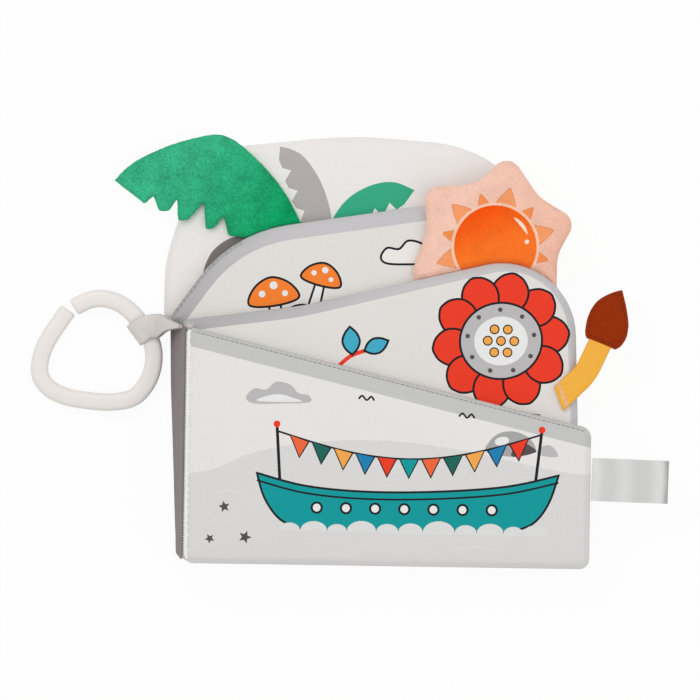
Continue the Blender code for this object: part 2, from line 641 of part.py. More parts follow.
def tail_flap(body, collection):
    """A ribbon strap along an arc, and two felt drops with the strap's end between them."""
    floor = tail_floor()
    right, left = [], []
    for step in range(STRAP_STEPS + 1):
        place, heading = along_strap(step / STRAP_STEPS)
        side = Vector((math.sin(heading), -math.cos(heading))) * STRAP_WIDTH / 2
        if step == 0:
            side.rotate(Matrix.Rotation(-STRAP_FOOT_SLANT, 2))
            side /= math.cos(STRAP_FOOT_SLANT)
        right.append(tuple(place + side))
        left.append(tuple(place - side))
    strap = slab("tail_strap", right + left[::-1], floor, STRAP_THICKNESS, collection, YELLOW_RIBBON)
    hang(strap, body)

    end, _ = along_strap(1.0)
    forward = Vector((math.cos(FELT_TURN), math.sin(FELT_TURN)))
    side = Vector((forward.y, -forward.x)) * FELT_WIDTH / 2
    start = end - forward * FELT_OVERLAP
    drop = [start + forward * FELT_LENGTH * a + side * w for a, w in FELT_HALF_SHARES]
    drop.append(start + forward * FELT_LENGTH)
    drop += [start + forward * FELT_LENGTH * a - side * w for a, w in FELT_HALF_SHARES[::-1]]
    outline = [tuple(point) for point in drop]
    levels = {
        "tail_felt_front": floor + STRAP_THICKNESS + SEAM_GAP,
        "tail_felt_rear": floor - SEAM_GAP - FELT_THICKNESS,
    }
    for name, level in levels.items():
        felt = slab(name, outline, level, FELT_THICKNESS, collection, BROWN_FELT)
        edge = felt.modifiers.new("Edge", "BEVEL")
        edge.width = FELT_EDGE
        edge.segments = 1
        edge.angle_limit = FELT_EDGE_ANGLE
        hang(felt, body)


def satin_label(body, collection):
    """A ribbon folded in half at its outer end, its two ends in the cover's seam."""
    profile = [(0.0, LABEL_ROOT_RADIUS), (LABEL_ROOT_LENGTH, LABEL_FOLD_RADIUS)]
    run = LABEL_LENGTH - LABEL_FOLD_RADIUS - LABEL_THICKNESS
    for step in range(LABEL_FOLD_STEPS + 1):
        turn = math.pi * (0.5 - step / LABEL_FOLD_STEPS)
        profile.append((run + LABEL_FOLD_RADIUS * math.cos(turn), LABEL_FOLD_RADIUS * math.sin(turn)))
    profile += [(LABEL_ROOT_LENGTH, -LABEL_FOLD_RADIUS), (0.0, -LABEL_ROOT_RADIUS)]
    mesh = bmesh.new()
    rows = [[mesh.verts.new((x, y, z)) for x, z in profile] for y in (-LABEL_WIDTH / 2, LABEL_WIDTH / 2)]
    for low, low_next, high, high_next in zip(rows[0], rows[0][1:], rows[1], rows[1][1:]):
        mesh.faces.new((low, high, high_next, low_next))
    place = Vector((PAGE_WIDTH + LABEL_OUT, LABEL_HEIGHT_ON_COVER, leaf_seam(COVER)))
    bmesh.ops.transform(
        mesh, matrix=Matrix.Translation(place) @ Matrix.Rotation(LABEL_TURN, 4, "Z"), verts=mesh.verts
    )
    label = object_from(mesh, "satin_label", collection, WHITE_SATIN)
    return hang(solidify(label, LABEL_THICKNESS, 0.0), body)


def ring_centre():
    return Vector((*RING_CENTRE, WEBBING_THICKNESS + 2 * SEAM_GAP + RING_BAR_HEIGHT / 2))


def plastic_ring(body, collection):
    """An open link: one smooth curve through points by hand, with an oval bar."""
    curve = bpy.data.curves.new("ring_path", "CURVE")
    curve.dimensions = "3D"
    curve.resolution_u = RING_STEPS_PER_POINT
    curve.bevel_depth = RING_BAR_WIDTH / 2
    curve.bevel_resolution = RING_BAR_SIDES
    curve.use_fill_caps = True
    spline = curve.splines.new("NURBS")
    spline.points.add(len(RING_SHARES) - 1)
    for point, (along, across) in zip(spline.points, RING_SHARES):
        point.co = (along * RING_LENGTH, across * RING_BREADTH, 0.0, 1.0)
    spline.order_u = 3
    spline.use_endpoint_u = True
    path = bpy.data.objects.new("ring_path", curve)
    collection.objects.link(path)
    bpy.context.view_layer.update()
    data = bpy.data.meshes.new_from_object(path.evaluated_get(bpy.context.evaluated_depsgraph_get()))
    bpy.data.objects.remove(path, do_unlink=True)
    mesh = bmesh.new()
    mesh.from_mesh(data)
    bpy.data.meshes.remove(data)
    bmesh.ops.remove_doubles(mesh, verts=mesh.verts, dist=WELD_DISTANCE)
    flatten = Matrix.Diagonal((1.0, 1.0, RING_BAR_HEIGHT / RING_BAR_WIDTH, 1.0))
    bmesh.ops.transform(mesh, matrix=Matrix.Translation(ring_centre()) @ flatten, verts=mesh.verts)
    return hang(object_from(mesh, "plastic_ring", collection, RING_PLASTIC), body)


def spine_face(height, plan_height):
    """X of the spine cloth's outer face at a height above the table."""
    foot, head = gutter_edge(BACK, plan_height), gutter_edge(COVER, plan_height)
    share = (height - leaf_seam(BACK)) / (leaf_seam(COVER) - leaf_seam(BACK))
    return foot + (head - foot) * max(share, 0.0) - SPINE_STAND_OFF - SPINE_THICKNESS


def webbing_tack():
    """Where the webbing is sewn down: at the head of the spine, just under the cover's seam."""
    height = leaf_seam(COVER) - WEBBING_TACK_DROP
    return Vector((spine_face(height, WEBBING_HEAD), WEBBING_HEAD, height))


def webbing_rows(tack, bar, rise, rise_shares, off):
    """(place, half width) of one end's rows, from the ring's bar up to the tack."""
    rows = []
    for share, width_share, turn, rise_share in zip(
        WEBBING_CLIMB_SHARES, WEBBING_WIDTH_SHARES, WEBBING_EDGE_TURNS, rise_shares
    ):
        start = Vector((bar.x, bar.y, bar.z + rise))
        end = tack + Vector((-off, 0.0, 0.0))
        place = start.lerp(end, share)
        place.y += WEBBING_BOW * math.sin(math.pi * share)
        place.z = start.z + (end.z - start.z) * rise_share
        half = Vector((math.cos(turn), math.sin(turn), 0.0)) * WEBBING_WIDTH * width_share / 2
        rows.append((place, half))
    return rows


def webbing_loop(body, collection):
    """A ribbon round the ring's bar, whose two ends climb to the spine's head and are drawn together."""
    bar = Vector((*WEBBING_ON_BAR, ring_centre().z))
    tack = webbing_tack()
    out = RING_BAR_WIDTH / 2 + SEAM_GAP + WEBBING_SLACK + WEBBING_THICKNESS / 2
    up = RING_BAR_HEIGHT / 2 + SEAM_GAP + WEBBING_SLACK / 2 + WEBBING_THICKNESS / 2
    inner_off = WEBBING_TACK_OFF + WEBBING_THICKNESS / 2
    outer_off = inner_off + WEBBING_THICKNESS + SEAM_GAP
    outer = webbing_rows(tack, bar, up, WEBBING_OUTER_RISE_SHARES, outer_off)
    inner = webbing_rows(tack, bar, -up, WEBBING_INNER_RISE_SHARES, inner_off)
    heading = Vector((math.cos(WEBBING_BAR_TURN), math.sin(WEBBING_BAR_TURN), 0.0))
    half = outer[0][1]
    bend = []
    for step in range(1, WEBBING_STEPS):
        turn = math.pi / 2 + math.pi * step / WEBBING_STEPS
        bend.append((bar + heading * out * math.cos(turn) + UP * up * math.sin(turn), half))
    mesh = bmesh.new()
    rows = []
    for place, side in outer[::-1] + bend + inner:
        rows.append((mesh.verts.new(place - side), mesh.verts.new(place + side)))
    for (a, b), (c, d) in zip(rows, rows[1:]):
        mesh.faces.new((a, c, d, b))
    webbing = object_from(mesh, "webbing_loop", collection, GREY_WEBBING)
    return hang(solidify(webbing, WEBBING_THICKNESS, 0.0), body)


def gutter_x(upper):
    """X of the hinge between a leaf and the one under it, just outside their heads' flare."""
    share = (COVER - upper + COVER - upper + 1) / (2 * COVER)
    return -share * HEAD_FLARE - GUTTER_CLEARANCE


def main():
    clear_scene()
    book = new_collection("crinkle_cloth_book")
    cutters = new_collection("cutters")

    back_body = pivot("back_leaf", (0.0, 0.0, 0.0), None, book)
    third_body = pivot(
        "third_leaf", (gutter_x(THIRD), 0.0, leaf_floor(THIRD) - GUTTER_CLEARANCE), back_body, book
    )
    second_height = (leaf_floor(SECOND) + leaf_top(SECOND)) / 2 + SEAM_GAP
    second_body = pivot("second_leaf", (gutter_x(SECOND), 0.0, second_height), third_body, book)
    cover_height = (leaf_top(SECOND) + leaf_floor(COVER)) / 2
    cover_body = pivot("cover", (gutter_x(COVER), 0.0, cover_height), second_body, book)

    sun_body = pivot("sun", (*sun_hinge()[0], leaf_top(THIRD) + SEAM_GAP), third_body, book)
    frond_body = pivot("frond", (*frond_hinge()[0], leaf_top(BACK) + SEAM_GAP), back_body, book)
    tail_body = pivot("tail", (*STRAP_FOOT, tail_floor()), second_body, book)
    label_body = pivot(
        "label", (PAGE_WIDTH + LABEL_HINGE_OUT, LABEL_HEIGHT_ON_COVER, leaf_seam(COVER)), cover_body, book
    )
    webbing_body = pivot("webbing", webbing_tack(), back_body, book)
    ring_body = pivot("ring", (*WEBBING_ON_BAR, ring_centre().z), webbing_body, book)

    padded_leaf("back_leaf", BACK, back_outline(), back_body, book)
    padded_leaf("third_leaf", THIRD, third_outline(), third_body, book)
    padded_leaf("second_leaf", SECOND, second_outline(), second_body, book)
    padded_leaf("cover", COVER, cover_outline(), cover_body, book)
    spine_cloth(back_body, book)

    filling_gap = FLAP_CLEARANCE + PLUSH_THICKNESS + SEAM_GAP
    sun_guides = [
        cutter("behind_sun_" + name, behind(sun_hinge(), gap), cutters)
        for name, gap in (("plush", FLAP_CLEARANCE), ("filling", filling_gap), ("foot", SEAM_GAP))
    ]
    frond_guides = [
        cutter("behind_frond_" + name, behind(frond_hinge(), gap), cutters)
        for name, gap in (("plush", FLAP_CLEARANCE), ("filling", filling_gap), ("foot", SEAM_GAP))
    ]
    for guide in cutters.objects:
        guide.location = BOOK_AT

    plush_sun(sun_body, third_body, sun_guides, book)
    palm_frond(frond_body, back_body, frond_guides, book)
    tail_flap(tail_body, book)
    satin_label(label_body, book)
    plastic_ring(ring_body, book)
    webbing_loop(webbing_body, book)


main()
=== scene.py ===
"""Crinkle cloth book, dressed: four padded printed leaves on a cloth spine, a plush sun, a plush palm
frond, a felt-tipped tail, a satin label, and an open plastic ring on a webbing loop.

Sizes are in the book's plan, in millimetres: X runs from the gutter to the fore edge, Y from the foot
to the head and Z up from the table. PLAN_TO_FRAME takes a finished mesh to the frame's metres.
"""

from __future__ import annotations

import logging
import math
import random
from collections.abc import Callable, Iterable, Sequence
from dataclasses import dataclass, field
from enum import Enum

import bmesh
import bpy
import numpy as np
from bmesh.types import BMesh
from bpy.types import Material, Node, NodeSocket, NodeTree, Object
from mathutils import Matrix, Vector, noise
from mathutils.geometry import delaunay_2d_cdt

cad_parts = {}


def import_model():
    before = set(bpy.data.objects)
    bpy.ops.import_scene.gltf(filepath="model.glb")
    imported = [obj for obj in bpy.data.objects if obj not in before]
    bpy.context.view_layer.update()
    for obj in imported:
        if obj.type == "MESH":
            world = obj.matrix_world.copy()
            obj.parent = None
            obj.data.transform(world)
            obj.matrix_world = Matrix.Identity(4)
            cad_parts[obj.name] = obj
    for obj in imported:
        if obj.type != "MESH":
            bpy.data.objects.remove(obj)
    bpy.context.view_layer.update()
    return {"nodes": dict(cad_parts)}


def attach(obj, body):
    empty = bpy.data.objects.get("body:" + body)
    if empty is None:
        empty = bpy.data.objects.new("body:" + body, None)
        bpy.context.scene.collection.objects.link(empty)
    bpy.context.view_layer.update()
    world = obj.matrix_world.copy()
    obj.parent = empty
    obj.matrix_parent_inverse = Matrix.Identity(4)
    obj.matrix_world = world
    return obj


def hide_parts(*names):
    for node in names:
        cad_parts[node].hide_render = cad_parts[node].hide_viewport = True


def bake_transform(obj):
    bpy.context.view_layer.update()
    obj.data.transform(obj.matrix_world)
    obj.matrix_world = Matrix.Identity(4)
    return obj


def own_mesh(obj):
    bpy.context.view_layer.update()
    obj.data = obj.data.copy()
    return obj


log = logging.getLogger("cloth_book")

Point = tuple[float, float]

MM = 0.001
PLAN_SHIFT = Vector((-88.0, -96.0, 0.0))
PLAN_TO_FRAME = Matrix.Scale(MM, 4) @ Matrix.Translation(PLAN_SHIFT)

LEAF_PITCH = 8.8
LEAF_THICKNESS = 7.4
LEAF_SEAM_HEIGHT = 2.9
CROWN_HEIGHT = LEAF_THICKNESS - LEAF_SEAM_HEIGHT
LEAN_AT_HEAD = 7.8
LEAN_AT_FOOT = 2.2
HEAD_HEIGHT = 118.0
SPINE_OFF = 1.2
SEAM_REACH = 0.002
PRESSED_SEAM = 0.4
FLARE_START = 118.4
AT_ONCE = 3000


class Level(Enum):
    """A leaf's place in the stack, counted up from the table."""

    BACK = 0
    THIRD = 1
    SECOND = 2
    COVER = 3

    @property
    def floor(self) -> float:
        """Height of the leaf's flat rear side."""
        return self.value * LEAF_PITCH

    @property
    def seam(self) -> float:
        """Height of the leaf's seam."""
        return self.floor + LEAF_SEAM_HEIGHT

    def gutter(self, height: float) -> float:
        """X of the leaf's gutter edge at a height above the foot."""
        lean = LEAN_AT_FOOT + (LEAN_AT_HEAD - LEAN_AT_FOOT) * height / HEAD_HEIGHT
        return -(3 - self.value) / 3.0 * min(lean, LEAN_AT_HEAD)


class Ink(Enum):
    """The print's colours, as they look under plain light, with a few painted shades among them."""

    GROUND = "eae7e4"
    PAGE = "e4e1dd"
    BACKDROP = "efebe8"
    WATER = "dcdbd9"
    BAND = "c7c7c5"
    BAND_LIGHT = "c8c6c8"
    # Painted shade: the second and third leaves' grey bands grow darker towards the gutter.
    BAND_PAINTED_SHADE = "b3b1b2"
    SELVAGE = "fbf9f7"
    FROTH = "e0e0de"
    OUTLINE = "171a20"
    TEAL = "019a9c"
    LEAF_TEAL = "35ac86"
    LEAF_GREY = "b3aead"
    TAUPE = "7f7776"
    ORANGE = "f0673a"
    PINE = "17665a"
    AMBER = "f5a94e"
    BLUE = "1a80b4"
    SKY = "41acc9"
    RED = "ee3b22"
    STONE = "a9a8a8"
    STONE_LIGHT = "bdbbbc"
    STONE_DARK = "56504f"
    PALE = "ebebea"
    MUSHROOM = "f7822d"
    SUN_GROUND = "faccb8"
    SUN_DISC = "ff7826"
    # Painted shade of the sun's plush, towards its lower right.
    SUN_PAINTED_SHADE = "f6c0a9"
    SUN_DISC_TOP = "fb5406"
    SUN_RIM = "fbcdb4"
    SUN_RAY = "fba06a"
    SUN_RAY_SMALL = "fe9353"
    SUN_RAY_EDGE = "d98a5c"
    SUN_GLINT = "fde3d0"
    FROND_BASE = "079e62"
    # Painted shade in the frond's fold.
    FROND_FOLD_PAINTED_SHADE = "047a49"
    FROND_TIP = "3ab486"
    FELT = "96380a"
    REAR = "dfdcd9"


def linear(code: str) -> tuple[float, float, float, float]:
    """Turns a screen colour into the renderer's values.

    Args:
        code: Six hexadecimal digits, red first.

    Returns:
        Red, green, blue and an alpha of one.
    """
    screen = [int(code[i:i + 2], 16) / 255.0 for i in (0, 2, 4)]
    red, green, blue = (c / 12.92 if c <= 0.04045 else ((c + 0.055) / 1.055) ** 2.4 for c in screen)
    return red, green, blue, 1.0


# Outlines in the plan


def rounded(corners: Sequence[tuple[float, float, float]], step: float = 6.0) -> list[Point]:
    """Rounds each corner of an outline by an arc.

    Args:
        corners: X, Y and radius of each corner, anticlockwise.
        step: Degrees between the points of an arc.

    Returns:
        The outline's points.
    """
    points: list[Point] = []
    for i, (x, y, radius) in enumerate(corners):
        if radius == 0.0:
            points.append((x, y))
            continue
        here = Vector((x, y))
        back = (Vector(corners[i - 1][:2]) - here).normalized()
        ahead = (Vector(corners[(i + 1) % len(corners)][:2]) - here).normalized()
        half = back.angle(ahead) / 2
        centre = here + (back + ahead).normalized() * radius / math.sin(half)
        first = here + back * radius / math.tan(half) - centre
        last = here + ahead * radius / math.tan(half) - centre
        sweep = first.angle_signed(last)
        steps = max(3, int(abs(math.degrees(sweep)) / step))
        for k in range(steps + 1):
            turned = first.copy()
            turned.rotate(Matrix.Rotation(-sweep * k / steps, 2))
            points.append(tuple(centre + turned))
    return points


def signed_area(points: Sequence[Point]) -> float:
    """Area of an outline, positive if it runs anticlockwise.

    Args:
        points: The outline.

    Returns:
        The area.
    """
    ring = np.array(points)
    after = np.roll(ring, -1, axis=0)
    return float((ring[:, 0] * after[:, 1] - ring[:, 1] * after[:, 0]).sum() / 2)


def evenly(points: Sequence[Point], step: float, closed: bool = True) -> list[Point]:
    """Points at even steps along a line.

    Args:
        points: The line's points.
        step: Distance wanted between two points.
        closed: Whether the line returns to its start.

    Returns:
        The new points, without the start repeated.
    """
    ring = np.array(list(points) + ([points[0]] if closed else []), float)
    runs = np.concatenate([[0.0], np.cumsum(np.linalg.norm(np.diff(ring, axis=0), axis=1))])
    count = max(3, int(round(runs[-1] / step)))
    at = np.linspace(0.0, runs[-1], count + 1)[: count if closed else count + 1]
    return list(zip(np.interp(at, runs, ring[:, 0]).tolist(), np.interp(at, runs, ring[:, 1]).tolist()))


def divided(points: Sequence[Point], step: float) -> list[Point]:
    """A closed line with points added on its long sides, so that it can follow a curved pad.

    Args:
        points: The line.
        step: Longest distance left between two points.

    Returns:
        The line's old and new points.
    """
    made: list[Point] = []
    for (ax, ay), (bx, by) in zip(points, list(points[1:]) + [points[0]]):
        parts = max(1, math.ceil(math.hypot(bx - ax, by - ay) / step))
        made += [(ax + (bx - ax) * k / parts, ay + (by - ay) * k / parts) for k in range(parts)]
    return made


def smooth_loop(points: Sequence[Point], steps: int = 6, closed: bool = True) -> list[Point]:
    """A smooth line through some points.

    Args:
        points: Points that the line goes through.
        steps: Points made for each of them.
        closed: Whether the line returns to its start.

    Returns:
        The smooth line's points.
    """
    count = len(points)
    made: list[Point] = []
    for i in range(count if closed else count - 1):
        near = [i + k if closed else min(max(i + k, 0), count - 1) for k in (-1, 0, 1, 2)]
        a, b, c, d = (Vector(points[k % count]) for k in near)
        for k in range(steps):
            t = k / steps
            spot = 2 * b + (c - a) * t
            spot += (2 * a - 5 * b + 4 * c - d) * t**2
            spot += (3 * b - a - 3 * c + d) * t**3
            made.append(tuple(0.5 * spot))
    if not closed:
        made.append(tuple(points[-1]))
    return made


def smooth_line(points: Sequence[Point], steps: int = 6) -> list[Point]:
    """A smooth open line through some points."""
    return smooth_loop(points, steps, closed=False)


def direction(turn: float) -> Vector:
    """The heading at some degrees from the plan's X."""
    return Vector((math.cos(math.radians(turn)), math.sin(math.radians(turn))))


def around(centre: Point, reach: float, turn: float) -> Point:
    """The place at a distance and some degrees from a centre."""
    a = math.radians(turn)
    return centre[0] + reach * math.cos(a), centre[1] + reach * math.sin(a)


def grown(points: Sequence[Point], by: float) -> list[Point]:
    """Moves an outline outwards, or inwards for a distance below zero.

    Args:
        points: The outline.
        by: The distance.

    Returns:
        The new outline, anticlockwise.
    """
    ring = np.array(points, float)
    if signed_area(points) < 0:
        ring = ring[::-1]
    ahead = np.roll(ring, -1, axis=0) - ring
    ahead /= np.maximum(np.linalg.norm(ahead, axis=1, keepdims=True), 1e-9)
    back = np.roll(ahead, 1, axis=0)
    normal = np.stack([ahead[:, 1] + back[:, 1], -ahead[:, 0] - back[:, 0]], axis=1)
    size = np.maximum(np.linalg.norm(normal, axis=1, keepdims=True), 1e-6)
    mitre = np.minimum(2.0 / size, 1.8)
    return [tuple(p) for p in (ring + normal / size * mitre * by).tolist()]


def ellipse(
    x: float, y: float, wide: float, high: float, turn: float = 0.0, steps: int = 28
) -> list[Point]:
    """An ellipse.

    Args:
        x, y: Its centre.
        wide, high: Its half sizes.
        turn: Degrees by which it is turned.
        steps: Number of its points.

    Returns:
        The outline's points.
    """
    cos, sin = math.cos(math.radians(turn)), math.sin(math.radians(turn))
    made = []
    for k in range(steps):
        a = 2 * math.pi * k / steps
        u, v = wide * math.cos(a), high * math.sin(a)
        made.append((x + u * cos - v * sin, y + u * sin + v * cos))
    return made


def stroke(points: Sequence[Point], width: float, taper: bool = False) -> list[Point]:
    """The outline of a pen line.

    Args:
        points: The line's middle.
        width: The pen's width.
        taper: Whether the line thins out to both ends.

    Returns:
        The outline's points.
    """
    line = [Vector(p) for p in points]
    left, right = [], []
    for i, spot in enumerate(line):
        along = (line[min(i + 1, len(line) - 1)] - line[max(i - 1, 0)]).normalized()
        share = math.sin(math.pi * i / (len(line) - 1)) ** 0.6 if taper else 1.0
        side = Vector((-along.y, along.x)) * width / 2 * max(share, 0.12)
        left.append(tuple(spot + side))
        right.append(tuple(spot - side))
    return right + left[::-1]


def moved(points: Sequence[Point], x: float, y: float, size: float = 1.0, turn: float = 0.0) -> list[Point]:
    """Scales an outline, turns it by some degrees and puts its zero at a place."""
    cos, sin = math.cos(math.radians(turn)), math.sin(math.radians(turn))
    return [(x + size * (u * cos - v * sin), y + size * (u * sin + v * cos)) for u, v in points]


# Printed patches


@dataclass(frozen=True)
class Fade:
    """A slow change towards a second ink, from one place to another."""

    ink: Ink
    start: Point
    end: Point

    def over(self, tints: np.ndarray, spots: np.ndarray) -> np.ndarray:
        """Mixes the second ink into some colours.

        Args:
            tints: A colour for each place.
            spots: The places.

        Returns:
            The mixed colours.
        """
        run = np.array(self.end) - np.array(self.start)
        share = np.clip(((spots - np.array(self.start)) @ run) / (run @ run), 0.0, 1.0)[:, None]
        return tints * (1 - share) + np.array(linear(self.ink.value)) * share


@dataclass(frozen=True)
class Patch:
    """One printed shape in one ink, or in one that fades."""

    points: tuple[Point, ...]
    ink: Ink
    fade: Fade | None = None


def patch(points: Iterable[Point], ink: Ink) -> list[Patch]:
    """A printed shape as a list of one patch."""
    return [Patch(tuple(points), ink)]


def outlined(points: Sequence[Point], ink: Ink, line: float = 1.1) -> list[Patch]:
    """A printed shape with a dark line along its edge."""
    return patch(grown(points, line / 2), Ink.OUTLINE) + patch(grown(points, -line / 2), ink)


def blob(points: Sequence[Point], ink: Ink) -> list[Patch]:
    """A printed shape with a smooth edge through some points."""
    return patch(smooth_loop(points), ink)


def inside(spots: np.ndarray, points: Sequence[Point]) -> np.ndarray:
    """Tells which places lie within an outline.

    Args:
        spots: Places, one a row.
        points: The outline.

    Returns:
        One truth for each place.
    """
    ring = np.array(points)
    low, high = ring.min(axis=0), ring.max(axis=0)
    near = ((spots >= low) & (spots <= high)).all(axis=1)
    found = np.zeros(len(spots), bool)
    if not near.any():
        return found
    x, y = spots[near, 0][:, None], spots[near, 1][:, None]
    a, b = ring, np.roll(ring, -1, axis=0)
    crosses = (a[:, 1] > y) != (b[:, 1] > y)
    climb = np.where(a[:, 1] == b[:, 1], 1.0, b[:, 1] - a[:, 1])
    hit = x < a[:, 0] + (y - a[:, 1]) * (b[:, 0] - a[:, 0]) / climb
    found[near] = (crosses & hit).sum(axis=1) % 2 == 1
    return found


class Artwork:
    """The generic prints of each side, in the order in which they are laid down."""

    @staticmethod
    def star(x: float, y: float, size: float, turn: float, ink: Ink) -> list[Patch]:
        """A five-pointed star, turned by some degrees from one point upright."""
        reaches = [size * (1.0 if k % 2 == 0 else 0.45) for k in range(10)]
        return patch([around((x, y), reach, turn + 90.0 + 36.0 * k) for k, reach in enumerate(reaches)], ink)

    @staticmethod
    def leaf(x: float, y: float, long: float, wide: float, turn: float, ink: Ink) -> list[Patch]:
        """A pointed leaf with its outline.

        Args:
            x, y: Its stalk end.
            long, wide: Its sizes.
            turn: Its heading in degrees.
            ink: Its ink.

        Returns:
            Its patches.
        """
        half = [(0, 0), (0.22, 0.36), (0.5, 0.5), (0.78, 0.33), (1, 0)]
        upper = smooth_line([(u * long, v * wide) for u, v in half], 5)
        lower = [(u, -v) for u, v in upper[1:-1]][::-1]
        return outlined(moved(upper + lower, x, y, 1.0, turn)[::-1], ink)

    @staticmethod
    def scallops(
        left: float, right: float, height: float, humps: Sequence[float], foot: float
    ) -> list[Point]:
        """A row of rounded humps on a straight foot.

        Args:
            left, right: Where the row starts and ends.
            height: Height of the hollows between the humps.
            humps: Each hump's share of the width.
            foot: Height of the foot.

        Returns:
            The row's outline.
        """
        total, x, top = sum(humps), left, []
        for hump in humps:
            wide = (right - left) * hump / total
            for k in range(9):
                a = math.pi * (1.0 - k / 9.0)
                top.append((x + wide * (0.5 + 0.5 * math.cos(a)), height + 0.36 * wide * math.sin(a)))
            x += wide
        return [(left, foot), (right, foot), (right, height)] + top[::-1]

    @staticmethod
    def wave(x: float, y: float, long: float, ink: Ink, width: float = 0.8) -> list[Patch]:
        """A thin line of small waves.

        Args:
            x, y: Its left end.
            long: Its length.
            ink: Its ink.
            width: The line's width.

        Returns:
            Its patch.
        """
        points = []
        for k in range(25):
            share = k / 24.0
            points.append((x + long * share, y - 1.1 * abs(math.sin(1.5 * math.pi * share + 0.5))))
        return patch(stroke(points, width, taper=True), ink)

    @classmethod
    def cover(cls) -> list[Patch]:
        """The cover: a long boat with a row of flags on still water.

        Returns:
            Its patches.
        """
        made = patch([(-4, -4), (206, -4), (206, 59.5), (-4, 109.4)], Ink.GROUND)
        selvage = [
            (1.9 + 0.35 * math.sin(1.9 * k) + 0.2 * math.sin(0.7 * k), 2.0 + 1.14 * k) for k in range(101)
        ]
        shore = smooth_line([
            (-4, 44), (14, 47), (34, 55.5), (62, 61), (100, 62.5), (140, 58), (168, 52), (190, 48),
            (206, 46.5),
        ])
        made += patch([(-4, -4), (206, -4)] + shore[::-1], Ink.WATER)
        made += patch([(-4, 117), (-4, 2)] + selvage, Ink.SELVAGE)
        return made + cls.stones() + cls.cloud() + cls.boat() + cls.sea() + cls.sky()

    @staticmethod
    def stones() -> list[Patch]:
        """Stones on the cover's far shore.

        Returns:
            Their patches.
        """
        made = blob([
            (150, 57.5), (151, 62.5), (156, 67), (164, 68), (171.5, 64.5), (174, 58), (163, 55.5),
        ], Ink.STONE)
        dark = [(163, 55.4), (163.5, 59.5), (167.5, 62.5), (172.5, 60.5), (174.2, 57.8)]
        made += blob(dark, Ink.STONE_DARK)
        made += patch(ellipse(157.5, 63.2, 3.6, 2.1, 12.0), Ink.PALE)
        light = [(175.5, 56.8), (177, 60.6), (181.5, 61.4), (185, 58), (184.5, 55.6)]
        return made + blob(light, Ink.STONE_LIGHT)

    @staticmethod
    def cloud() -> list[Patch]:
        """The cover's cloud, with its lit foot.

        Returns:
            Its patches.
        """
        made = blob([
            (30, 83), (34, 87.5), (40, 87), (45, 91), (52, 89.5), (56, 85.5), (61, 84.5), (61.5, 81),
            (48, 80.2), (34, 80),
        ], Ink.STONE_LIGHT)
        return made + blob([(36, 81.2), (40, 83.8), (47, 84.8), (53, 83.2), (57, 81.2)], Ink.PALE)

    @staticmethod
    def boat() -> list[Patch]:
        """The cover's boat: masts, flags on a rope, hull, rail and portholes.

        Returns:
            Its patches.
        """
        deck = [(36, 45.5), (60, 39.5), (90, 37), (125, 37.5), (160, 40.5), (186, 46.5)]
        bow = smooth_line([(36, 45.5), (40, 33), (48, 22.5), (60, 17.5)], 5)
        stern = smooth_line([(160, 17.5), (173, 22), (181, 32), (186, 46.5)], 5)
        hull = smooth_line(deck)[::-1] + bow[1:] + stern[:-1]
        rail = smooth_line([(x, y - 3.6) for x, y in deck])
        rope = [(46.0 + 131.0 * k / 24.0, 66.5 - 13.0 * math.sin(math.pi * k / 24.0)) for k in range(25)]
        made: list[Patch] = []
        for foot, head in (((47.5, 41), (45.6, 70)), ((174.5, 42.5), (177.4, 69))):
            made += patch(stroke([foot, head], 1.5), Ink.OUTLINE)
            made += patch(ellipse(*head, 1.7, 1.7), Ink.RED)
        made += patch(stroke(rope, 0.95), Ink.OUTLINE)
        inks = (Ink.ORANGE, Ink.PINE, Ink.AMBER, Ink.BLUE, Ink.RED, Ink.TEAL)
        for k in range(11):
            a, b = rope[1 + 2 * k], rope[3 + 2 * k]
            tip = ((a[0] + b[0]) / 2, (a[1] + b[1]) / 2 - 9.6)
            sides = ((a[0] + 0.7, a[1]), tip, (b[0] - 0.7, b[1]))
            made += outlined(sides, inks[k % len(inks)], 0.7)
        made += outlined(hull, Ink.TEAL)
        made += patch(stroke(rail, 0.95), Ink.OUTLINE)
        for k in range(7):
            made += outlined(ellipse(66.0 + 14.5 * k, 28.6 + 0.014 * (k - 3) ** 2, 2.5, 2.5), Ink.PALE)
        return made

    @classmethod
    def sea(cls) -> list[Patch]:
        """The cover's water in front of the boat, with froth, waves and stars.

        Returns:
            Its patches.
        """
        humps = (9, 11, 8, 12, 9, 10, 13, 9, 11, 8, 10)
        made = patch(cls.scallops(47.0, 181.0, 17.2, humps, 12.4), Ink.FROTH)
        made += blob([
            (42, 15.6), (60, 17.2), (120, 16.2), (186, 15.8), (183, 10), (120, 8.6), (50, 9.6),
        ], Ink.WATER)
        for x, y, long in ((12, 37, 18), (62, 6, 24), (132, 10.5, 26), (160, 4.6, 20),
                           (8, 22, 14), (183, 33, 14)):
            made += cls.wave(x, y, long, Ink.FROTH)
        for x, y, size, turn in ((20, 28.5, 3, 12), (30.5, 13.5, 3.4, -20), (13, 12.5, 2.6, 30)):
            made += cls.star(x, y, size, turn, Ink.STONE_DARK)
        return made

    @staticmethod
    def sky() -> list[Patch]:
        """The cover's two birds.

        Returns:
            Their patches.
        """
        made: list[Patch] = []
        for x, y in ((90, 82.5), (140, 74.5)):
            bird = [(x - 4.0, y + 0.6), (x - 2.2, y + 2.2), (x, y), (x + 2.2, y + 1.8), (x + 3.8, y - 0.2)]
            made += patch(stroke(smooth_line(bird, 5), 0.95), Ink.OUTLINE)
        return made

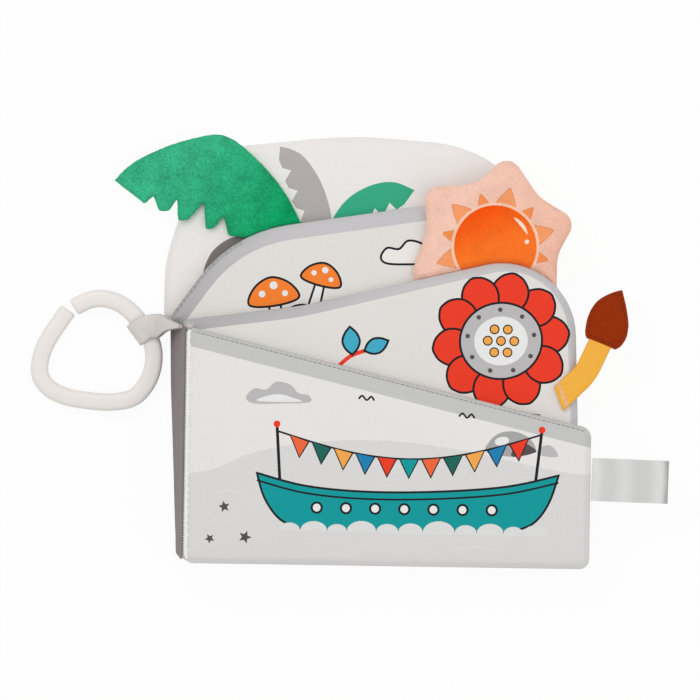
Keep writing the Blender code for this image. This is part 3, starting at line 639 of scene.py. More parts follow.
    @classmethod
    def second(cls) -> list[Patch]:
        """The second leaf: one big flower, a twig and a low hill.

        Returns:
            Its patches.
        """
        made = patch(rounded([
            (-12, -4, 1), (191.8, -4, 1), (191.8, 75, 150), (188, 155.9, 31), (56, 123.2, 160),
            (-12, 113.9, 1),
        ]), Ink.PAGE)
        hill = smooth_line([(-12, 20), (20, 27), (60, 25), (100, 18), (150, 24), (192, 17)])
        made += patch([(-12, -4), (192, -4)] + hill[::-1], Ink.WATER)
        made += cls.flower((156.5, 113))
        twig = smooth_line([(76, 99.5), (82, 104.5), (90, 107.5)])
        made += patch(stroke(twig, 2.0), Ink.RED)
        made += cls.leaf(82.5, 105.0, 14.0, 8.6, 96.0, Ink.SKY)
        made += cls.leaf(88.5, 107.0, 13.0, 7.6, 24.0, Ink.SKY)
        for x, y, size in ((34, 92, 4.6), (58, 70, 5.2), (24, 58, 4.2), (92, 62, 4.6),
                           (110, 88, 3.6)):
            made += cls.star(x, y, size, 3.0 * x, Ink.STONE_LIGHT)
        made += patch(cls.scallops(18.0, 86.0, 23.0, (3, 4, 3, 5, 3.5), 20.0), Ink.STONE_LIGHT)
        return made

    @classmethod
    def flower(cls, centre: Point) -> list[Patch]:
        """The second leaf's flower on its stem.

        Args:
            centre: The middle of its head.

        Returns:
            Its patches.
        """
        stem = smooth_line([(150, 14), (147, 45), (151, 75), (156, 100)], 8)
        made = outlined(stroke(stem, 3.4), Ink.PINE)
        made += cls.leaf(149.5, 62.0, 30.0, 13.0, 28.0, Ink.LEAF_TEAL)
        made += cls.leaf(147.5, 48.0, 28.0, 12.0, 152.0, Ink.LEAF_TEAL)
        for k in range(10):
            turn = 36.0 * k + 8.0
            made += cls.petal(around(centre, 15.0, turn), turn)
        made += outlined(ellipse(*centre, 20.5, 19.0, 8.0, 48), Ink.STONE_LIGHT)
        made += patch(ellipse(*centre, 13.4, 12.2, 8.0, 40), Ink.PALE)
        for k in range(9):
            a = math.radians(40.0 * k + 12.0)
            x, y = centre[0] + 16.8 * math.cos(a), centre[1] + 15.6 * math.sin(a)
            made += patch(ellipse(x, y, 1.15, 1.15), Ink.STONE_DARK)
        for k in range(7):
            reach = 0.0 if k == 0 else 6.6
            made += outlined(ellipse(*around(centre, reach, 60.0 * k), 2.2, 2.2), Ink.AMBER, 0.6)
        return made

    @staticmethod
    def petal(foot: Point, turn: float) -> list[Patch]:
        """A broad flower petal with a blunt point.

        Args:
            foot: Where it starts.
            turn: Its heading in degrees.

        Returns:
            Its patches.
        """
        upper = smooth_line([(0, 5.2), (6, 8.6), (12, 8.8), (17, 5.4), (19.2, 0.9)], 4)
        lower = [(u, -v) for u, v in upper][::-1]
        return outlined(moved(upper + lower, *foot, 1.0, turn)[::-1], Ink.RED)

    @classmethod
    def third(cls) -> list[Patch]:
        """The third leaf: mushrooms by a stone, with pebbles and a cloud.

        Returns:
            Its patches.
        """
        plain = rounded([
            (Level.THIRD.gutter(0), 0, 5), (185.5, 0, 5), (185.5, 190.8, 52), (21.4, 165.1, 68),
            (-9.6, 121.8, 3),
        ])
        made = patch(grown(evenly(plain, 3.0), -7.6), Ink.PAGE)
        hill = smooth_line([(-4, 30), (40, 44), (90, 30), (140, 38), (179.4, 28)])
        made += patch([(-4, 7.6), (179.4, 7.6)] + hill[::-1], Ink.WATER)
        for placing in ((43, 131, 1, 10), (66, 141, 0.8, -14), (30, 78, 1.2, 6)):
            made += cls.mushroom(*placing)
        made += outlined(smooth_loop([
            (47.5, 120), (51, 127.5), (58.5, 129.5), (65, 125.5), (66.5, 118), (56, 116.5),
        ]), Ink.STONE)
        made += outlined(smooth_loop([
            (96, 154), (99, 158.6), (105, 158.2), (109.5, 162.4), (116.5, 161), (119.5, 156.8),
            (124.5, 155.6), (124, 151.6), (110, 150.6), (99, 150.9),
        ]), Ink.BACKDROP)
        for x, y, r in ((78, 98, 6), (92, 92, 8), (108, 98, 6.5), (128, 70, 9)):
            made += patch(ellipse(x, y, r, 0.68 * r), Ink.STONE_LIGHT)
        for x, y in ((140, 96), (156, 60), (60, 62), (150, 118)):
            made += cls.star(x, y, 4.0, x, Ink.BAND)
        return made

    @staticmethod
    def mushroom(x: float, y: float, size: float, turn: float) -> list[Patch]:
        """A mushroom with a spotted cap.

        Args:
            x, y: The middle of its cap's foot.
            size: Its scale.
            turn: Its slant in degrees.

        Returns:
            Its patches.
        """
        stem = [(-3.6, -16), (3.6, -16), (2.6, 2), (-2.6, 2)]
        made = outlined(moved(stem, x, y, size, turn), Ink.PALE)
        cap = smooth_loop([(-12.5, 0), (-9, 8), (0, 12.2), (9, 8), (12.5, 0), (0, -2.2)], 7)
        made += outlined(moved(cap, x, y, size, turn), Ink.MUSHROOM)
        for u, v, r in ((-5.4, 4.6, 1.7), (1, 8, 2), (6, 3.2, 1.5)):
            made += patch(moved(ellipse(u, v, r, r, 0.0, 18), x, y, size, turn), Ink.PALE)
        return made

    @classmethod
    def back(cls) -> list[Patch]:
        """The back leaf: a few palm leaves with notched sides, on a bent trunk.

        Returns:
            Its patches.
        """
        made = patch([(-20, -4), (186, -4), (186, 222), (-20, 222)], Ink.BACKDROP)
        outer = smooth_line([(67, 120), (71.5, 150), (71.2, 172), (66, 190), (57, 203.5), (49, 208)])
        made += patch(outer + [
            (44.6, 208.8), (44.2, 202), (46, 198), (50.4, 196.8), (47.4, 191.6), (49.4, 188), (53.8, 186.8),
            (51, 181.4), (53.2, 178), (57.4, 176.8), (55, 170), (57, 150), (60, 120),
        ], Ink.LEAF_GREY)
        ridge = smooth_line([(68, 160), (72.2, 174), (80, 184), (91, 190.2), (102, 191.8), (112.4, 188)])
        made += patch(ridge + [
            (107.4, 180.8), (103.6, 178), (100, 181.4), (96.6, 174.4), (92.6, 178.6), (89, 170.4),
            (84.8, 174.6), (81, 165.4), (77, 168), (74, 158),
        ], Ink.LEAF_TEAL)
        made += blob([
            (6, 118), (6.4, 138), (7.3, 146.1), (8.8, 150.7), (11, 155), (14.2, 158.4), (18, 161.2),
            (22, 162.9), (28.6, 164), (56, 160), (54, 120), (26, 108),
        ], Ink.TAUPE)
        trunk = smooth_line([(62, 8), (58, 50), (60, 90), (70, 130)], 8)
        made += patch(stroke(trunk, 9.0), Ink.LEAF_GREY)
        for x, y, size in ((120, 60, 6), (140, 120, 5), (104, 100, 4), (20, 70, 5)):
            made += cls.star(x, y, size, 2.0 * x, Ink.BAND)
        return made

    @classmethod
    def rear(cls, width: float, seed: int) -> list[Patch]:
        """A rear page: a plain cloth with a few stars and waves.

        Args:
            width: Width of the page.
            seed: Seed of their small shifts.

        Returns:
            Its patches.
        """
        rng = random.Random(seed)
        made: list[Patch] = []
        for row in range(6):
            for column in range(5):
                x = 22.0 + (width - 40.0) * (column + 0.5 * (row % 2)) / 4.6 + rng.uniform(-2.0, 2.0)
                y = 14.0 + 17.5 * row + rng.uniform(-2.0, 2.0)
                if (row + column) % 2:
                    made += cls.star(x, y, 3.4, rng.uniform(0.0, 72.0), Ink.BAND)
                else:
                    made += cls.wave(x - 6.0, y, 13.0, Ink.STONE_LIGHT, 1.0)
        return made

    @staticmethod
    def sun(centre: Point) -> list[Patch]:
        """The sun's face: a disc with a pale rim and rays by turns broad and narrow.

        Args:
            centre: The disc's middle.

        Returns:
            Its patches.
        """
        made: list[Patch] = []
        for k in range(12):
            reach, half, ink = (30.3, 5.0, Ink.SUN_RAY) if k % 2 == 0 else (27.2, 2.9, Ink.SUN_RAY_SMALL)
            mid = (22.0 + reach) / 2
            ray = smooth_line([
                (21.6, -half), (mid, -half * 0.56), (reach - 0.3, -0.35), (reach, 0.0), (reach - 0.3, 0.35),
                (mid, half * 0.56), (21.6, half),
            ], 4)
            placed = moved(evenly(ray, 1.0), *centre, 1.0, 16.6 + 30.0 * k)
            made += patch(grown(placed, 0.16), Ink.SUN_RAY_EDGE) + patch(grown(placed, -0.16), ink)
        made += patch(ellipse(*centre, 22.0, 22.0, 0.0, 72), Ink.SUN_RIM)
        glow = Fade(Ink.SUN_DISC_TOP, (centre[0] + 2.0, centre[1]), (centre[0] - 6.0, centre[1] + 19.0))
        made.append(Patch(tuple(ellipse(*centre, 20.6, 20.6, 0.0, 72)), Ink.SUN_DISC, glow))
        arc = [around(centre, 17.1, a) for a in range(22, 60, 3)]
        made += patch(stroke(arc, 1.8, taper=True), Ink.SUN_GLINT)
        made += patch(ellipse(centre[0] + 15.7, centre[1] + 2.7, 1.15, 1.15, 0.0, 16), Ink.SUN_GLINT)
        return made


# Padded shapes


def third_outline() -> list[Point]:
    """The third leaf's outline."""
    gutter = Level.THIRD.gutter
    return rounded([
        (gutter(0), 0, 5), (185.5, 0, 5), (185.5, 190.8, 52), (21.4, 165.1, 68),
        (-9.6, 121.8, 3), (gutter(FLARE_START), FLARE_START, 1),
    ])


def second_outline() -> list[Point]:
    """The second leaf's outline."""
    gutter = Level.SECOND.gutter
    return rounded([
        (gutter(0), 0, 5), (195.5, 0, 5), (195.5, 75, 150), (192.3, 161.5, 37),
        (56, 128.8, 160), (gutter(121), 121, 3),
    ])


def cover_outline() -> list[Point]:
    """The cover's outline."""
    return rounded([(0, 0, 5), (202, 0, 5), (202, 70, 6), (0, 118, 3)])


def back_outline() -> list[Point]:
    """The back leaf's outline."""
    gutter = Level.BACK.gutter
    return rounded([
        (gutter(0), 0, 5), (181, 0, 5), (181, 208, 64), (80, 215, 200),
        (5, 206.5, 24), (-12.3, 150, 70), (-12.3, 122.2, 3),
        (gutter(FLARE_START), FLARE_START, 1),
    ])


def edge_distance(spots: np.ndarray, outline: Sequence[Point]) -> tuple[np.ndarray, np.ndarray]:
    """Measures places against an outline.

    Args:
        spots: Places, one a row.
        outline: A closed line.

    Returns:
        Each place's distance from the line, and how far along the line its nearest point lies.
    """
    a = np.array(outline)
    run = np.roll(a, -1, axis=0) - a
    size = np.maximum(np.linalg.norm(run, axis=1), 1e-9)
    before = np.concatenate([[0.0], np.cumsum(size)[:-1]])
    distance, along = np.empty(len(spots)), np.empty(len(spots))
    for start in range(0, len(spots), AT_ONCE):
        part = spots[start:start + AT_ONCE]
        to = part[:, None, :] - a[None]
        share = np.clip((to * run).sum(axis=2) / size**2, 0.0, 1.0)
        gap = np.linalg.norm(to - share[..., None] * run, axis=2)
        best = gap.argmin(axis=1)
        rows = np.arange(len(part))
        distance[start:start + AT_ONCE] = gap[rows, best]
        along[start:start + AT_ONCE] = before[best] + share[rows, best] * size[best]
    return distance, along


def ripple(x: np.ndarray, y: np.ndarray, size: float, seed: float) -> np.ndarray:
    """Smooth noise over the plan, about -0.7 to 0.7, whose waves have this size."""
    places = zip((x / size).tolist(), (y / size).tolist())
    return np.array([noise.noise(Vector((u, v, seed))) for u, v in places])


def rise(edge: np.ndarray, reach: float) -> np.ndarray:
    """Share, from 0 at an edge towards 1, of a soft rise that is mostly done at its reach."""
    return 1 - np.exp(-edge / reach)


def swell(edge: np.ndarray, crown: tuple[Point, Point]) -> np.ndarray:
    """A rise of a steep and a soft part, each given by its share and its reach."""
    (steep, steep_reach), (soft, soft_reach) = crown
    return steep * rise(edge, steep_reach) + soft * rise(edge, soft_reach)


def welt(edge: np.ndarray, middle: float, width: float) -> np.ndarray:
    """A soft welt of height one that follows an edge at some distance."""
    return np.exp(-(((edge - middle) / width) ** 2))


@dataclass(frozen=True)
class Spots:
    """Places on a pad, with their distances from its edge and their ways along it."""

    x: np.ndarray
    y: np.ndarray
    edge: np.ndarray
    along: np.ndarray

    @classmethod
    def over(cls, plan: np.ndarray, outline: Sequence[Point]) -> Spots:
        """Measures places against a pad's outline."""
        return cls(plan[:, 0], plan[:, 1], *edge_distance(plan, outline))

    def ripple(self, size: float, seed: float) -> np.ndarray:
        """Smooth noise over the places, whose waves have this size."""
        return ripple(self.x, self.y, size, seed)


Heights = Callable[[Spots], np.ndarray]


def laid(plan: np.ndarray, outline: Sequence[Point], front: Heights, above: float) -> list[Vector]:
    """Lays a line on a pad's front, or some way above it."""
    heights = front(Spots.over(plan, outline))
    return [Vector((*spot, height + above)) for spot, height in zip(plan.tolist(), heights.tolist())]


@dataclass
class Pad:
    """A closed sewn shape: a front and a rear layer that meet in a seam."""

    name: str
    outline: list[Point]
    front: Heights
    rear: Heights
    inks: tuple[Ink, Ink]
    prints: tuple[list[Patch], list[Patch]] = field(default_factory=lambda: ([], []))
    rings: tuple[float, ...] = (0.35, 0.9, 1.5, 2.1, 3.0, 4.4)
    edge_step: float = 1.3
    mesh_step: float = 2.6
    fade: Fade | None = None

    def layout(self) -> tuple[np.ndarray, list[tuple[int, int, int]]]:
        """Fills the outline with points and triangles that follow the prints' edges.

        Returns:
            The points, and the triangles as three indices each.
        """
        outline = evenly(self.outline, self.edge_step)
        spots: list[Point] = list(outline)
        edges: list[tuple[int, int]] = []
        for side in self.prints:
            for item in side:
                first = len(spots)
                ring = divided(item.points, self.mesh_step)
                spots += ring
                count = len(ring)
                edges += [(first + k, first + (k + 1) % count) for k in range(count)]
        for gap in self.rings:
            spots += grown(outline, -gap)
        grid = self.grid(np.array(outline))
        grid = grid[inside(grid, outline)]
        grid = grid[edge_distance(grid, outline)[0] > self.rings[-1] + 0.6 * self.mesh_step]
        spots += [tuple(p) for p in grid.tolist()]
        found = delaunay_2d_cdt([Vector(p) for p in spots], edges, [list(range(len(outline)))], 1, 1e-4, True)
        triangles = [tuple(t) for t, source in zip(found[2], found[5]) if 0 in source]
        return np.array([tuple(p) for p in found[0]]), triangles

    def grid(self, outline: np.ndarray) -> np.ndarray:
        """Rows of points in even triangles over the outline's box.

        Args:
            outline: The outline's points, one a row.

        Returns:
            The grid's points, one a row.
        """
        (x0, y0), (x1, y1) = outline.min(axis=0), outline.max(axis=0)
        rows = []
        row_step = self.mesh_step * math.sqrt(3) / 2
        for j in range(int((y1 - y0) / row_step) + 1):
            for i in range(int((x1 - x0) / self.mesh_step) + 1):
                rows.append((x0 + (i + 0.5 * (j % 2)) * self.mesh_step, y0 + j * row_step))
        return np.array(rows)

    def colours(self, middles: np.ndarray, side: int) -> np.ndarray:
        """The ink of each triangle on one side.

        Args:
            middles: The triangles' middles.
            side: 0 for the front, 1 for the rear.

        Returns:
            A colour for each triangle.
        """
        made = np.tile(linear(self.inks[side].value), (len(middles), 1))
        if self.fade and side == 0:
            made = self.fade.over(made, middles)
        for item in self.prints[side]:
            found = inside(middles, item.points)
            made[found] = linear(item.ink.value)
            if item.fade:
                made[found] = item.fade.over(made[found], middles[found])
        return made

    def build(self) -> Object:
        """Makes the pad's mesh, with its print as a colour attribute.

        Returns:
            The finished object.
        """
        plan, triangles = self.layout()
        spots = Spots.over(plan, evenly(self.outline, self.edge_step))
        on_seam = spots.edge < SEAM_REACH
        places = plan.tolist()
        mesh = bmesh.new()
        front = [mesh.verts.new((*p, z)) for p, z in zip(places, self.front(spots).tolist())]
        rear = [
            front[i] if on_seam[i] else mesh.verts.new((*p, z))
            for i, (p, z) in enumerate(zip(places, self.rear(spots).tolist()))
        ]
        ink = mesh.loops.layers.float_color.new("ink")
        middles = plan[np.array(triangles)].mean(axis=1)
        tints = zip(self.colours(middles, 0).tolist(), self.colours(middles, 1).tolist())
        for (a, b, c), (front_tint, rear_tint) in zip(triangles, tints):
            if on_seam[a] and on_seam[b] and on_seam[c]:
                continue
            layers = ((front[a], front[b], front[c]), front_tint), ((rear[c], rear[b], rear[a]), rear_tint)
            for corners, tint in layers:
                for loop in mesh.faces.new(corners).loops:
                    loop[ink] = tint
        loose = [v for v in mesh.verts if not v.link_faces]
        bmesh.ops.delete(mesh, geom=loose, context="VERTS")
        return finished(mesh, self.name, sharp=55.0)


def finished(mesh: BMesh, name: str, sharp: float = 35.0) -> Object:
    """Takes a mesh from the plan to the frame and makes its object.

    Args:
        mesh: The mesh, in the plan's millimetres. It is freed.
        name: The object's name.
        sharp: Edges bent further than this, in degrees, stay sharp.

    Returns:
        The object, linked to the scene.
    """
    bmesh.ops.transform(mesh, matrix=PLAN_TO_FRAME, verts=mesh.verts)
    bmesh.ops.recalc_face_normals(mesh, faces=mesh.faces)
    data = bpy.data.meshes.new(name)
    mesh.to_mesh(data)
    mesh.free()
    data.shade_smooth()
    data.set_sharp_from_angle(angle=math.radians(sharp))
    obj = bpy.data.objects.new(name, data)
    bpy.context.scene.collection.objects.link(obj)
    return obj


def place(obj: Object, body: str, finish: Material, slot: str, *nodes: str) -> Object:
    """Dresses a piece and hands it to its body.

    Args:
        obj: The piece.
        body: The body it rides on, or an empty text for none.
        finish: Its material.
        slot: Not used.
        nodes: The CAD nodes that it stands for.

    Returns:
        The piece.
    """
    obj.data.materials.append(finish)
    if body:
        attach(obj, body)
    if nodes:
        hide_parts(*nodes)
    log.info("%s: %d faces", obj.name, len(obj.data.polygons))
    return obj


# Finishes


class NodeBench:
    """Builds the nodes of one material round its Principled shader."""

    def __init__(self, name: str) -> None:
        """Starts a material.

        Args:
            name: The material's name.
        """
        self.material = bpy.data.materials.new(name)
        self.material.use_nodes = True
        self.tree = self.material.node_tree
        self.shader = self.tree.nodes["Principled BSDF"]
        self.column = 0

    def node(self, kind: str, **settings: object) -> Node:
        """Adds a node and sets it up.

        Args:
            kind: The node's type.
            settings: Attributes, or values of inputs by name with underscores for spaces.

        Returns:
            The node.
        """
        made = self.tree.nodes.new(kind)
        self.column += 1
        made.location = (-220.0 * self.column, 0.0)
        for name, value in settings.items():
            if hasattr(made, name):
                setattr(made, name, value)
            else:
                made.inputs[name.replace("_", " ")].default_value = value
        return made

    def group(self, tree: NodeTree, **values: object) -> Node:
        """Adds a shared node group, laid over the object.

        Args:
            tree: The group.
            values: Its values by name.

        Returns:
            The group's node.
        """
        made = self.tree.nodes.new("ShaderNodeGroup")
        made.node_tree = tree
        for name, value in values.items():
            made.inputs[name].default_value = value
        return made

    def ink(self) -> NodeSocket:
        """The socket of the print's colours."""
        return self.node("ShaderNodeAttribute", attribute_name="ink").outputs["Color"]

    def surface(self, **values: object) -> Material:
        """Sets some of the shader's values and hands out the material.

        Args:
            values: Values by the input's name, with underscores for spaces.

        Returns:
            The material.
        """
        for name, value in values.items():
            self.shader.inputs[name.replace("_", " ")].default_value = value
        return self.material

    def wire(self, source: NodeSocket, target: NodeSocket) -> None:
        """Joins an output to an input."""
        self.tree.links.new(source, target)

    def tinted(self, colour: NodeSocket | tuple, shade: NodeSocket) -> NodeSocket:
        """Multiplies a colour by a value that changes over the surface.

        Args:
            colour: A colour, or the socket that gives it.
            shade: The value's socket.

        Returns:
            The socket of the result.
        """
        mix = self.node("ShaderNodeVectorMath", operation="MULTIPLY")
        if isinstance(colour, tuple):
            mix.inputs[0].default_value = colour[:3]
        else:
            self.wire(colour, mix.inputs[0])
        self.wire(shade, mix.inputs[1])
        return mix.outputs[0]

    def bump(self, height: NodeSocket, distance: float) -> None:
        """Gives the shader a relief.

        Args:
            height: Its height.
            distance: Its depth in metres.
        """
        made = self.node("ShaderNodeBump", Strength=1.0, Distance=distance)
        self.wire(height, made.inputs["Height"])
        self.wire(made.outputs[0], self.shader.inputs["Normal"])


class SharedEffects:
    """Node groups that more than one finish uses, each built once."""

    def __init__(self) -> None:
        """Builds every group."""
        self.weave = self.make_weave()
        self.nap = self.make_nap()
        self.ribs = self.make_ribs()

    @staticmethod
    def start(name: str, values: Sequence[tuple[str, float]]) -> NodeTree:
        """Starts a group that takes a vector and some values, and gives a height and a shade.

        Args:
            name: The group's name.
            values: Name and usual value of each input.

        Returns:
            The group.
        """
        tree = bpy.data.node_groups.new(name, "ShaderNodeTree")
        tree.interface.new_socket("Vector", in_out="INPUT", socket_type="NodeSocketVector")
        for label, value in values:
            socket = tree.interface.new_socket(label, in_out="INPUT", socket_type="NodeSocketFloat")
            socket.default_value = value
        for label in ("Height", "Shade"):
            tree.interface.new_socket(label, in_out="OUTPUT", socket_type="NodeSocketFloat")
        tree.nodes.new("NodeGroupInput")
        tree.nodes.new("NodeGroupOutput")
        return tree

    @staticmethod
    def finish(tree: NodeTree, height: NodeSocket, shade: NodeSocket) -> NodeTree:
        """Gives a group its two results.

        Args:
            tree: The group.
            height: The relief's height.
            shade: The value that the colour is multiplied by.

        Returns:
            The group.
        """
        given = tree.nodes["Group Output"].inputs
        tree.links.new(height, given["Height"])
        tree.links.new(shade, given["Shade"])
        return tree

    @staticmethod
    def math(tree: NodeTree, operation: str, *values: NodeSocket | float) -> NodeSocket:
        """Adds a Math node to a group.

        Args:
            tree: The group.
            operation: The node's operation.
            values: Its inputs, as sockets or numbers.

        Returns:
            Its output.
        """
        made = tree.nodes.new("ShaderNodeMath")
        made.operation = operation
        for slot, value in zip(made.inputs, values):
            if isinstance(value, (int, float)):
                slot.default_value = value
            else:
                tree.links.new(value, slot)
        return made.outputs[0]

    @classmethod
    def cloud(
        cls, tree: NodeTree, scale: float, detail: float, stretch: Sequence[float] | None = None
    ) -> NodeSocket:
        """Adds a noise over the group's vector.

        Args:
            tree: The group.
            scale: The noise's scale.
            detail: Its detail.
            stretch: What the vector is first multiplied by, if anything.

        Returns:
            The noise's output.
        """
        source = tree.nodes["Group Input"].outputs["Vector"]
        if stretch:
            mapping = tree.nodes.new("ShaderNodeMapping")
            mapping.inputs["Scale"].default_value = stretch
            tree.links.new(source, mapping.inputs["Vector"])
            source = mapping.outputs[0]
        made = tree.nodes.new("ShaderNodeTexNoise")
        made.inputs["Scale"].default_value = scale
        made.inputs["Detail"].default_value = detail
        tree.links.new(source, made.inputs["Vector"])
        return made.outputs["Fac"]

    @classmethod
    def make_weave(cls) -> NodeTree:
        """Plain weave: threads over and under, with slubs and a soft unevenness.

        Returns:
            The group.
        """
        tree = cls.start("plain_weave", (("Pitch", 0.00042), ("Depth", 1.0), ("Unevenness", 0.05)))
        given = tree.nodes["Group Input"].outputs
        split = tree.nodes.new("ShaderNodeSeparateXYZ")
        tree.links.new(given["Vector"], split.inputs[0])
        waves = []
        for axis in (0, 1):
            turns = cls.math(tree, "DIVIDE", split.outputs[axis], given["Pitch"])
            waves.append(cls.math(tree, "SINE", cls.math(tree, "MULTIPLY", turns, math.pi)))
        cross = cls.math(tree, "MULTIPLY", waves[0], waves[1])
        slub = cls.cloud(tree, 900.0, 2.0, (1.0, 0.15, 1.0))
        thread = cls.math(tree, "MULTIPLY_ADD", cross, 0.35, cls.math(tree, "MULTIPLY", slub, 0.5))
        height = cls.math(tree, "MULTIPLY", thread, given["Depth"])
        soft = cls.math(tree, "SUBTRACT", cls.cloud(tree, 26.0, 3.0), 0.5)
        fine = cls.math(tree, "SUBTRACT", cls.cloud(tree, 620.0, 2.0), 0.5)
        both = cls.math(tree, "ADD", soft, cls.math(tree, "MULTIPLY", fine, 0.9))
        return cls.finish(tree, height, cls.math(tree, "MULTIPLY_ADD", both, given["Unevenness"], 1.0))

    @classmethod
    def make_nap(cls) -> NodeTree:
        """Short pile: tufts of fibre that lean in patches.

        Returns:
            The group.
        """
        tree = cls.start("nap", (("Unevenness", 0.2), ("Depth", 1.0)))
        given = tree.nodes["Group Input"].outputs
        tuft, clump, lean = (cls.cloud(tree, scale, 3.0) for scale in (1500.0, 760.0, 95.0))
        pile = cls.math(tree, "MULTIPLY_ADD", clump, 0.8, tuft)
        height = cls.math(tree, "MULTIPLY", pile, given["Depth"])
        shares = [cls.math(tree, "SUBTRACT", part, 0.5) for part in (clump, lean, tuft)]
        mixed = cls.math(tree, "ADD", shares[0], shares[1])
        mixed = cls.math(tree, "ADD", mixed, cls.math(tree, "MULTIPLY", shares[2], 0.8))
        return cls.finish(tree, height, cls.math(tree, "MULTIPLY_ADD", mixed, given["Unevenness"], 1.0))

    @classmethod
    def make_ribs(cls) -> NodeTree:
        """Straight ribs across the vector's X, as on ribbon, twill and webbing, with painted shade in the
        grooves between them.

        Returns:
            The group.
        """
        tree = cls.start("ribs", (("Pitch", 0.0007), ("Unevenness", 0.08)))
        given = tree.nodes["Group Input"].outputs
        split = tree.nodes.new("ShaderNodeSeparateXYZ")
        tree.links.new(given["Vector"], split.inputs[0])
        turns = cls.math(tree, "DIVIDE", split.outputs[0], given["Pitch"])
        wave = cls.math(tree, "SINE", cls.math(tree, "MULTIPLY", turns, 2.0 * math.pi))
        grain = cls.cloud(tree, 1400.0, 2.0)
        height = cls.math(tree, "MULTIPLY_ADD", wave, 0.5, grain)
        uneven = cls.math(tree, "SUBTRACT", grain, 0.5)
        # The shade follows the ribs' wave: painted shade in the grooves and lighter crests, with random
        # unevenness on top.
        mixed = cls.math(tree, "ADD", cls.math(tree, "MULTIPLY", wave, 0.6), uneven)
        return cls.finish(tree, height, cls.math(tree, "MULTIPLY_ADD", mixed, given["Unevenness"], 1.0))


@dataclass(frozen=True)
class ClothFinish:
    """Printed or plain woven cloth. Without a colour it shows the print."""

    name: str
    colour: str | None = None
    pitch: float = 0.00042
    unevenness: float = 0.05
    relief: float = 0.00006
    sheen: float = 0.12

    def build(self, effects: SharedEffects) -> Material:
        """Makes the material.

        Args:
            effects: The shared node groups.

        Returns:
            The material.
        """
        bench = NodeBench(self.name)
        at = bench.node("ShaderNodeTexCoord").outputs["Object"]
        weave = bench.group(effects.weave, Pitch=self.pitch, Unevenness=self.unevenness)
        bench.wire(at, weave.inputs["Vector"])
        colour = bench.ink() if self.colour is None else linear(self.colour)
        bench.wire(bench.tinted(colour, weave.outputs["Shade"]), bench.shader.inputs["Base Color"])
        bench.bump(weave.outputs["Height"], self.relief)
        return bench.surface(
            Roughness=0.85, Specular_IOR_Level=0.25, Sheen_Weight=self.sheen, Sheen_Roughness=0.5
        )


@dataclass(frozen=True)
class PlushFinish:
    """Short plush with its print, or in one colour."""

    name: str
    unevenness: float = 0.2
    relief: float = 0.00035
    sheen: float = 0.35
    tint: str = "ffffff"

    def build(self, effects: SharedEffects) -> Material:
        """Makes the material.

        Args:
            effects: The shared node groups.

        Returns:
            The material.
        """
        bench = NodeBench(self.name)
        at = bench.node("ShaderNodeTexCoord").outputs["Object"]
        nap = bench.group(effects.nap, Unevenness=self.unevenness)
        bench.wire(at, nap.inputs["Vector"])
        bench.wire(bench.tinted(bench.ink(), nap.outputs["Shade"]), bench.shader.inputs["Base Color"])
        bench.bump(nap.outputs["Height"], self.relief)
        return bench.surface(
            Roughness=1.0, Specular_IOR_Level=0.1, Sheen_Weight=self.sheen, Sheen_Roughness=0.4,
            Sheen_Tint=linear(self.tint),
        )


@dataclass(frozen=True)
class RibbedFinish:
    """Ribbed ribbon, webbing, twill or satin. Ribs run across a turned X."""

    name: str
    colour: str
    pitch: float = 0.0007
    turn: float = 0.0
    # Scales both the painted shade of the rib grooves and their random unevenness.
    unevenness: float = 0.08
    relief: float = 0.00012
    roughness: float = 0.75
    sheen: float = 0.1
    specular: float = 0.3
    by_map: bool = False
    by_ink: bool = False

    def build(self, effects: SharedEffects) -> Material:
        """Makes the material.

        Args:
            effects: The shared node groups.

        Returns:
            The material.
        """
        bench = NodeBench(self.name)
        coordinates = bench.node("ShaderNodeTexCoord").outputs["UV" if self.by_map else "Object"]
        mapping = bench.node("ShaderNodeMapping")
        mapping.inputs["Rotation"].default_value = (0.0, 0.0, math.radians(self.turn))
        bench.wire(coordinates, mapping.inputs["Vector"])
        ribs = bench.group(effects.ribs, Pitch=self.pitch, Unevenness=self.unevenness)
        bench.wire(mapping.outputs[0], ribs.inputs["Vector"])
        colour = bench.ink() if self.by_ink else linear(self.colour)
        bench.wire(bench.tinted(colour, ribs.outputs["Shade"]), bench.shader.inputs["Base Color"])
        bench.bump(ribs.outputs["Height"], self.relief)
        return bench.surface(
            Roughness=self.roughness, Specular_IOR_Level=self.specular, Sheen_Weight=self.sheen
        )


@dataclass(frozen=True)
class MouldedFinish:
    """Moulded plastic: a fine uneven gloss, with faint flow marks."""

    name: str
    colour: str
    roughness: float = 0.33
    clear: float = 0.0

    def build(self, effects: SharedEffects) -> Material:
        """Makes the material.

        Args:
            effects: The shared node groups.

        Returns:
            The material.
        """
        bench = NodeBench(self.name)
        at = bench.node("ShaderNodeTexCoord").outputs["Object"]
        cast = bench.group(effects.nap, Unevenness=0.02)
        bench.wire(at, cast.inputs["Vector"])
        colour = bench.tinted(linear(self.colour), cast.outputs["Shade"])
        bench.wire(colour, bench.shader.inputs["Base Color"])
        flow = bench.node("ShaderNodeTexNoise", Scale=60.0, Detail=2.0)
        bench.wire(at, flow.inputs["Vector"])
        bench.bump(flow.outputs["Fac"], 0.0001)
        rough = bench.node("ShaderNodeMapRange", To_Min=self.roughness - 0.04, To_Max=self.roughness + 0.06)
        bench.wire(flow.outputs["Fac"], rough.inputs["Value"])
        bench.wire(rough.outputs[0], bench.shader.inputs["Roughness"])
        return bench.surface(Subsurface_Weight=self.clear, Subsurface_Radius=(0.004, 0.0035, 0.003))


